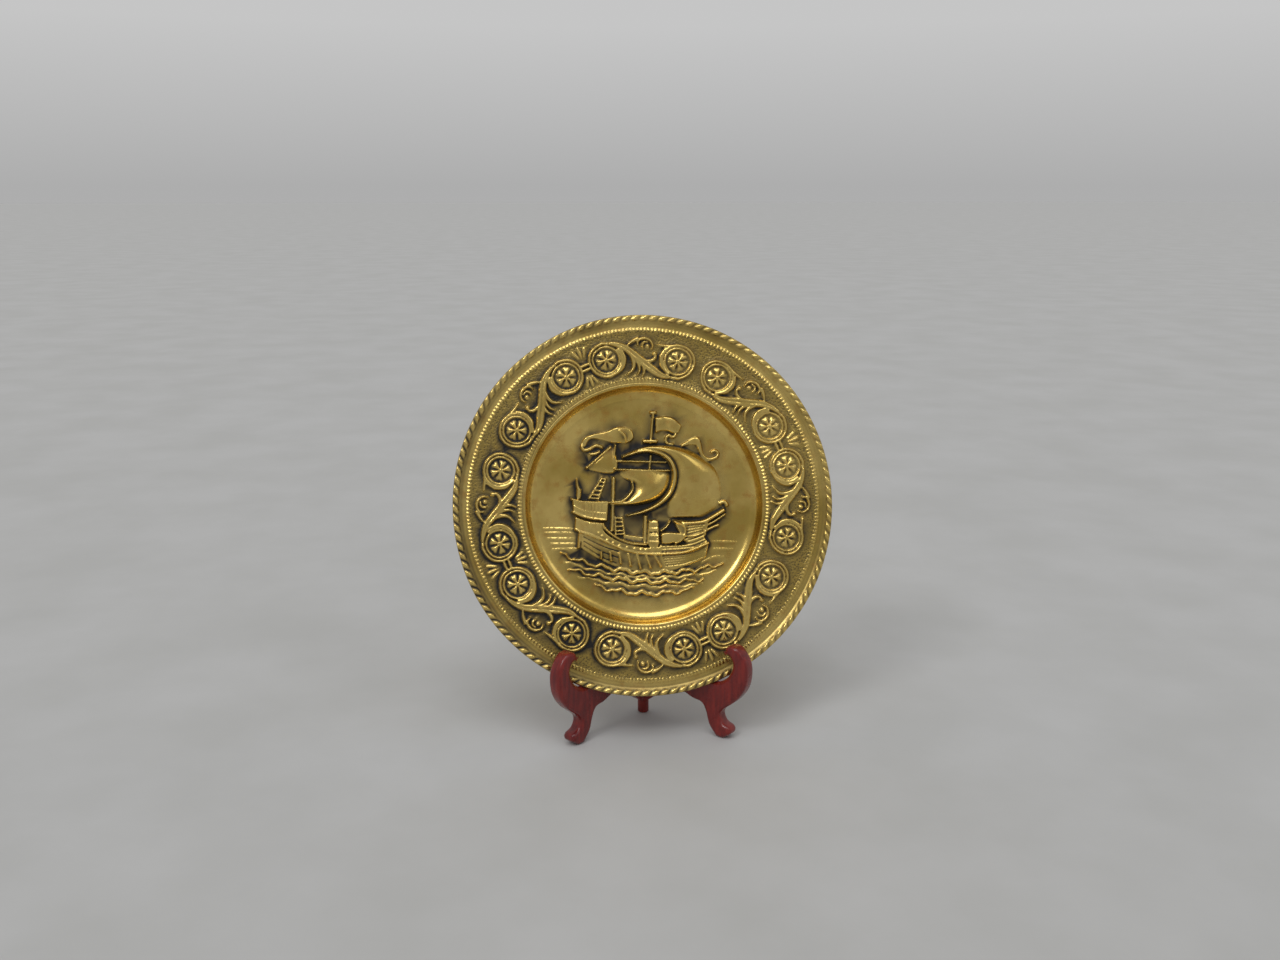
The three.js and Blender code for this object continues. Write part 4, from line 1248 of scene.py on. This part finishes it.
def lacquer_material():
    """Dark red lacquer over wood grain, with a clear gloss."""
    material = bpy.data.materials.new("red_lacquer")
    n = Nodes(material)
    grain = n.noise(n.place(WOOD_STRETCH), **WOOD_GRAIN)
    cloud = n.noise(n.place(), **WOOD_CLOUD)
    streaked = n.math("MULTIPLY", grain, WOOD_GRAIN_SHARE)
    clouded = n.math("MULTIPLY", cloud, 1 - WOOD_GRAIN_SHARE)
    wood = n.math("ADD", streaked, clouded)
    n.finish(
        Base_Color=n.blend(n.spread(wood, *WOOD_SPREAD), LACQUER_DEEP, LACQUER_RED),
        Roughness=n.spread(cloud, *LACQUER_ROUGHNESS),
        Specular_IOR_Level=LACQUER_SPECULAR,
        Coat_Weight=LACQUER_COAT,
        Coat_Roughness=LACQUER_COAT_ROUGHNESS,
        Normal=n.bump(grain, *LACQUER_BUMP),
    )
    return material


def steel_material():
    """Drawn wire for the hinge pin."""
    material = bpy.data.materials.new("drawn_steel")
    n = Nodes(material)
    streaks = n.noise(n.place(WIRE_STRETCH), **WIRE_STREAKS)
    n.finish(
        Base_Color=n.blend(streaks, STEEL_PALE, STEEL_DARK),
        Metallic=1.0,
        Roughness=n.spread(streaks, *WIRE_ROUGHNESS),
    )
    return material


def floor_material():
    material = bpy.data.materials.new("pale_floor")
    n = Nodes(material)
    cloud = n.noise(n.place(), **FLOOR_CLOUD)
    colour = n.blend(n.spread(cloud, *FLOOR_SPREAD), FLOOR_PALE, FLOOR_GREY)
    n.finish(Base_Color=colour, Roughness=FLOOR_ROUGHNESS)
    return material


# Stage
def floor():
    mesh = bpy.data.meshes.new("floor")
    corners = [(x * FLOOR_HALF, y * FLOOR_HALF, 0) for x, y in [(-1, -1), (1, -1), (1, 1), (-1, 1)]]
    mesh.from_pydata(corners, [], [(0, 1, 2, 3)])
    mesh.materials.append(floor_material())
    link("floor", mesh)


def sun(name, azimuth, elevation, width, strength):
    """A soft distant light; azimuth 0 stands in front of the plate and turns to the viewer's right."""
    data = bpy.data.lights.new(name, "SUN")
    data.angle = math.radians(width)
    data.energy = strength
    lamp = bpy.data.objects.new(name, data)
    bpy.context.scene.collection.objects.link(lamp)
    lamp.rotation_euler = (math.radians(90 - elevation), 0, math.radians(azimuth))


def world_light():
    """A plain grey surround, paler behind the object and overhead than in front of it."""
    world = bpy.data.worlds.new("studio")
    n = Nodes(world)
    heading = n.add("ShaderNodeSeparateXYZ", {"Vector": n.add("ShaderNodeTexCoord").outputs["Generated"]})
    back = n.blend(n.spread(heading.outputs["Z"], *HORIZON_BAND), WORLD_HORIZON, WORLD_BACK)
    sides = n.blend(n.spread(heading.outputs["Y"], *SIDE_BAND), WORLD_FRONT, back)
    surround = n.blend(n.spread(heading.outputs["Z"], *TOP_BAND), sides, WORLD_TOP)
    n.put(n.tree.nodes["Background"].inputs["Color"], surround)
    bpy.context.scene.world = world


def camera(centre):
    data = bpy.data.cameras.new("camera")
    data.lens = LENS
    data.sensor_width = SENSOR
    data.clip_end = CAMERA_CLIP
    eye = bpy.data.objects.new("camera", data)
    bpy.context.scene.collection.objects.link(eye)
    turn = Matrix.Rotation(CAMERA_AZIMUTH, 4, "Z")
    eye.location = centre + turn @ (Vector(CAMERA_OFFSET) * MM)
    heading = turn @ Vector((0, math.cos(CAMERA_PITCH), -math.sin(CAMERA_PITCH)))
    eye.rotation_euler = heading.to_track_quat("-Z", "Y").to_euler()
    bpy.context.scene.camera = eye


def main():
    centre = plate_matrix().to_translation()
    camera(centre)
    world_light()
    for name, light in LIGHTS.items():
        sun(name, **light)
    floor()
    plate(brass_material())
    lacquer = lacquer_material()
    leaf("left_leaf", -1, 1, lacquer)
    leaf("right_leaf", 1, 0, lacquer)
    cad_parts["hinge_pin"].material_slots[0].material = steel_material()
    bpy.context.scene.view_settings.view_transform = "Standard"


main()
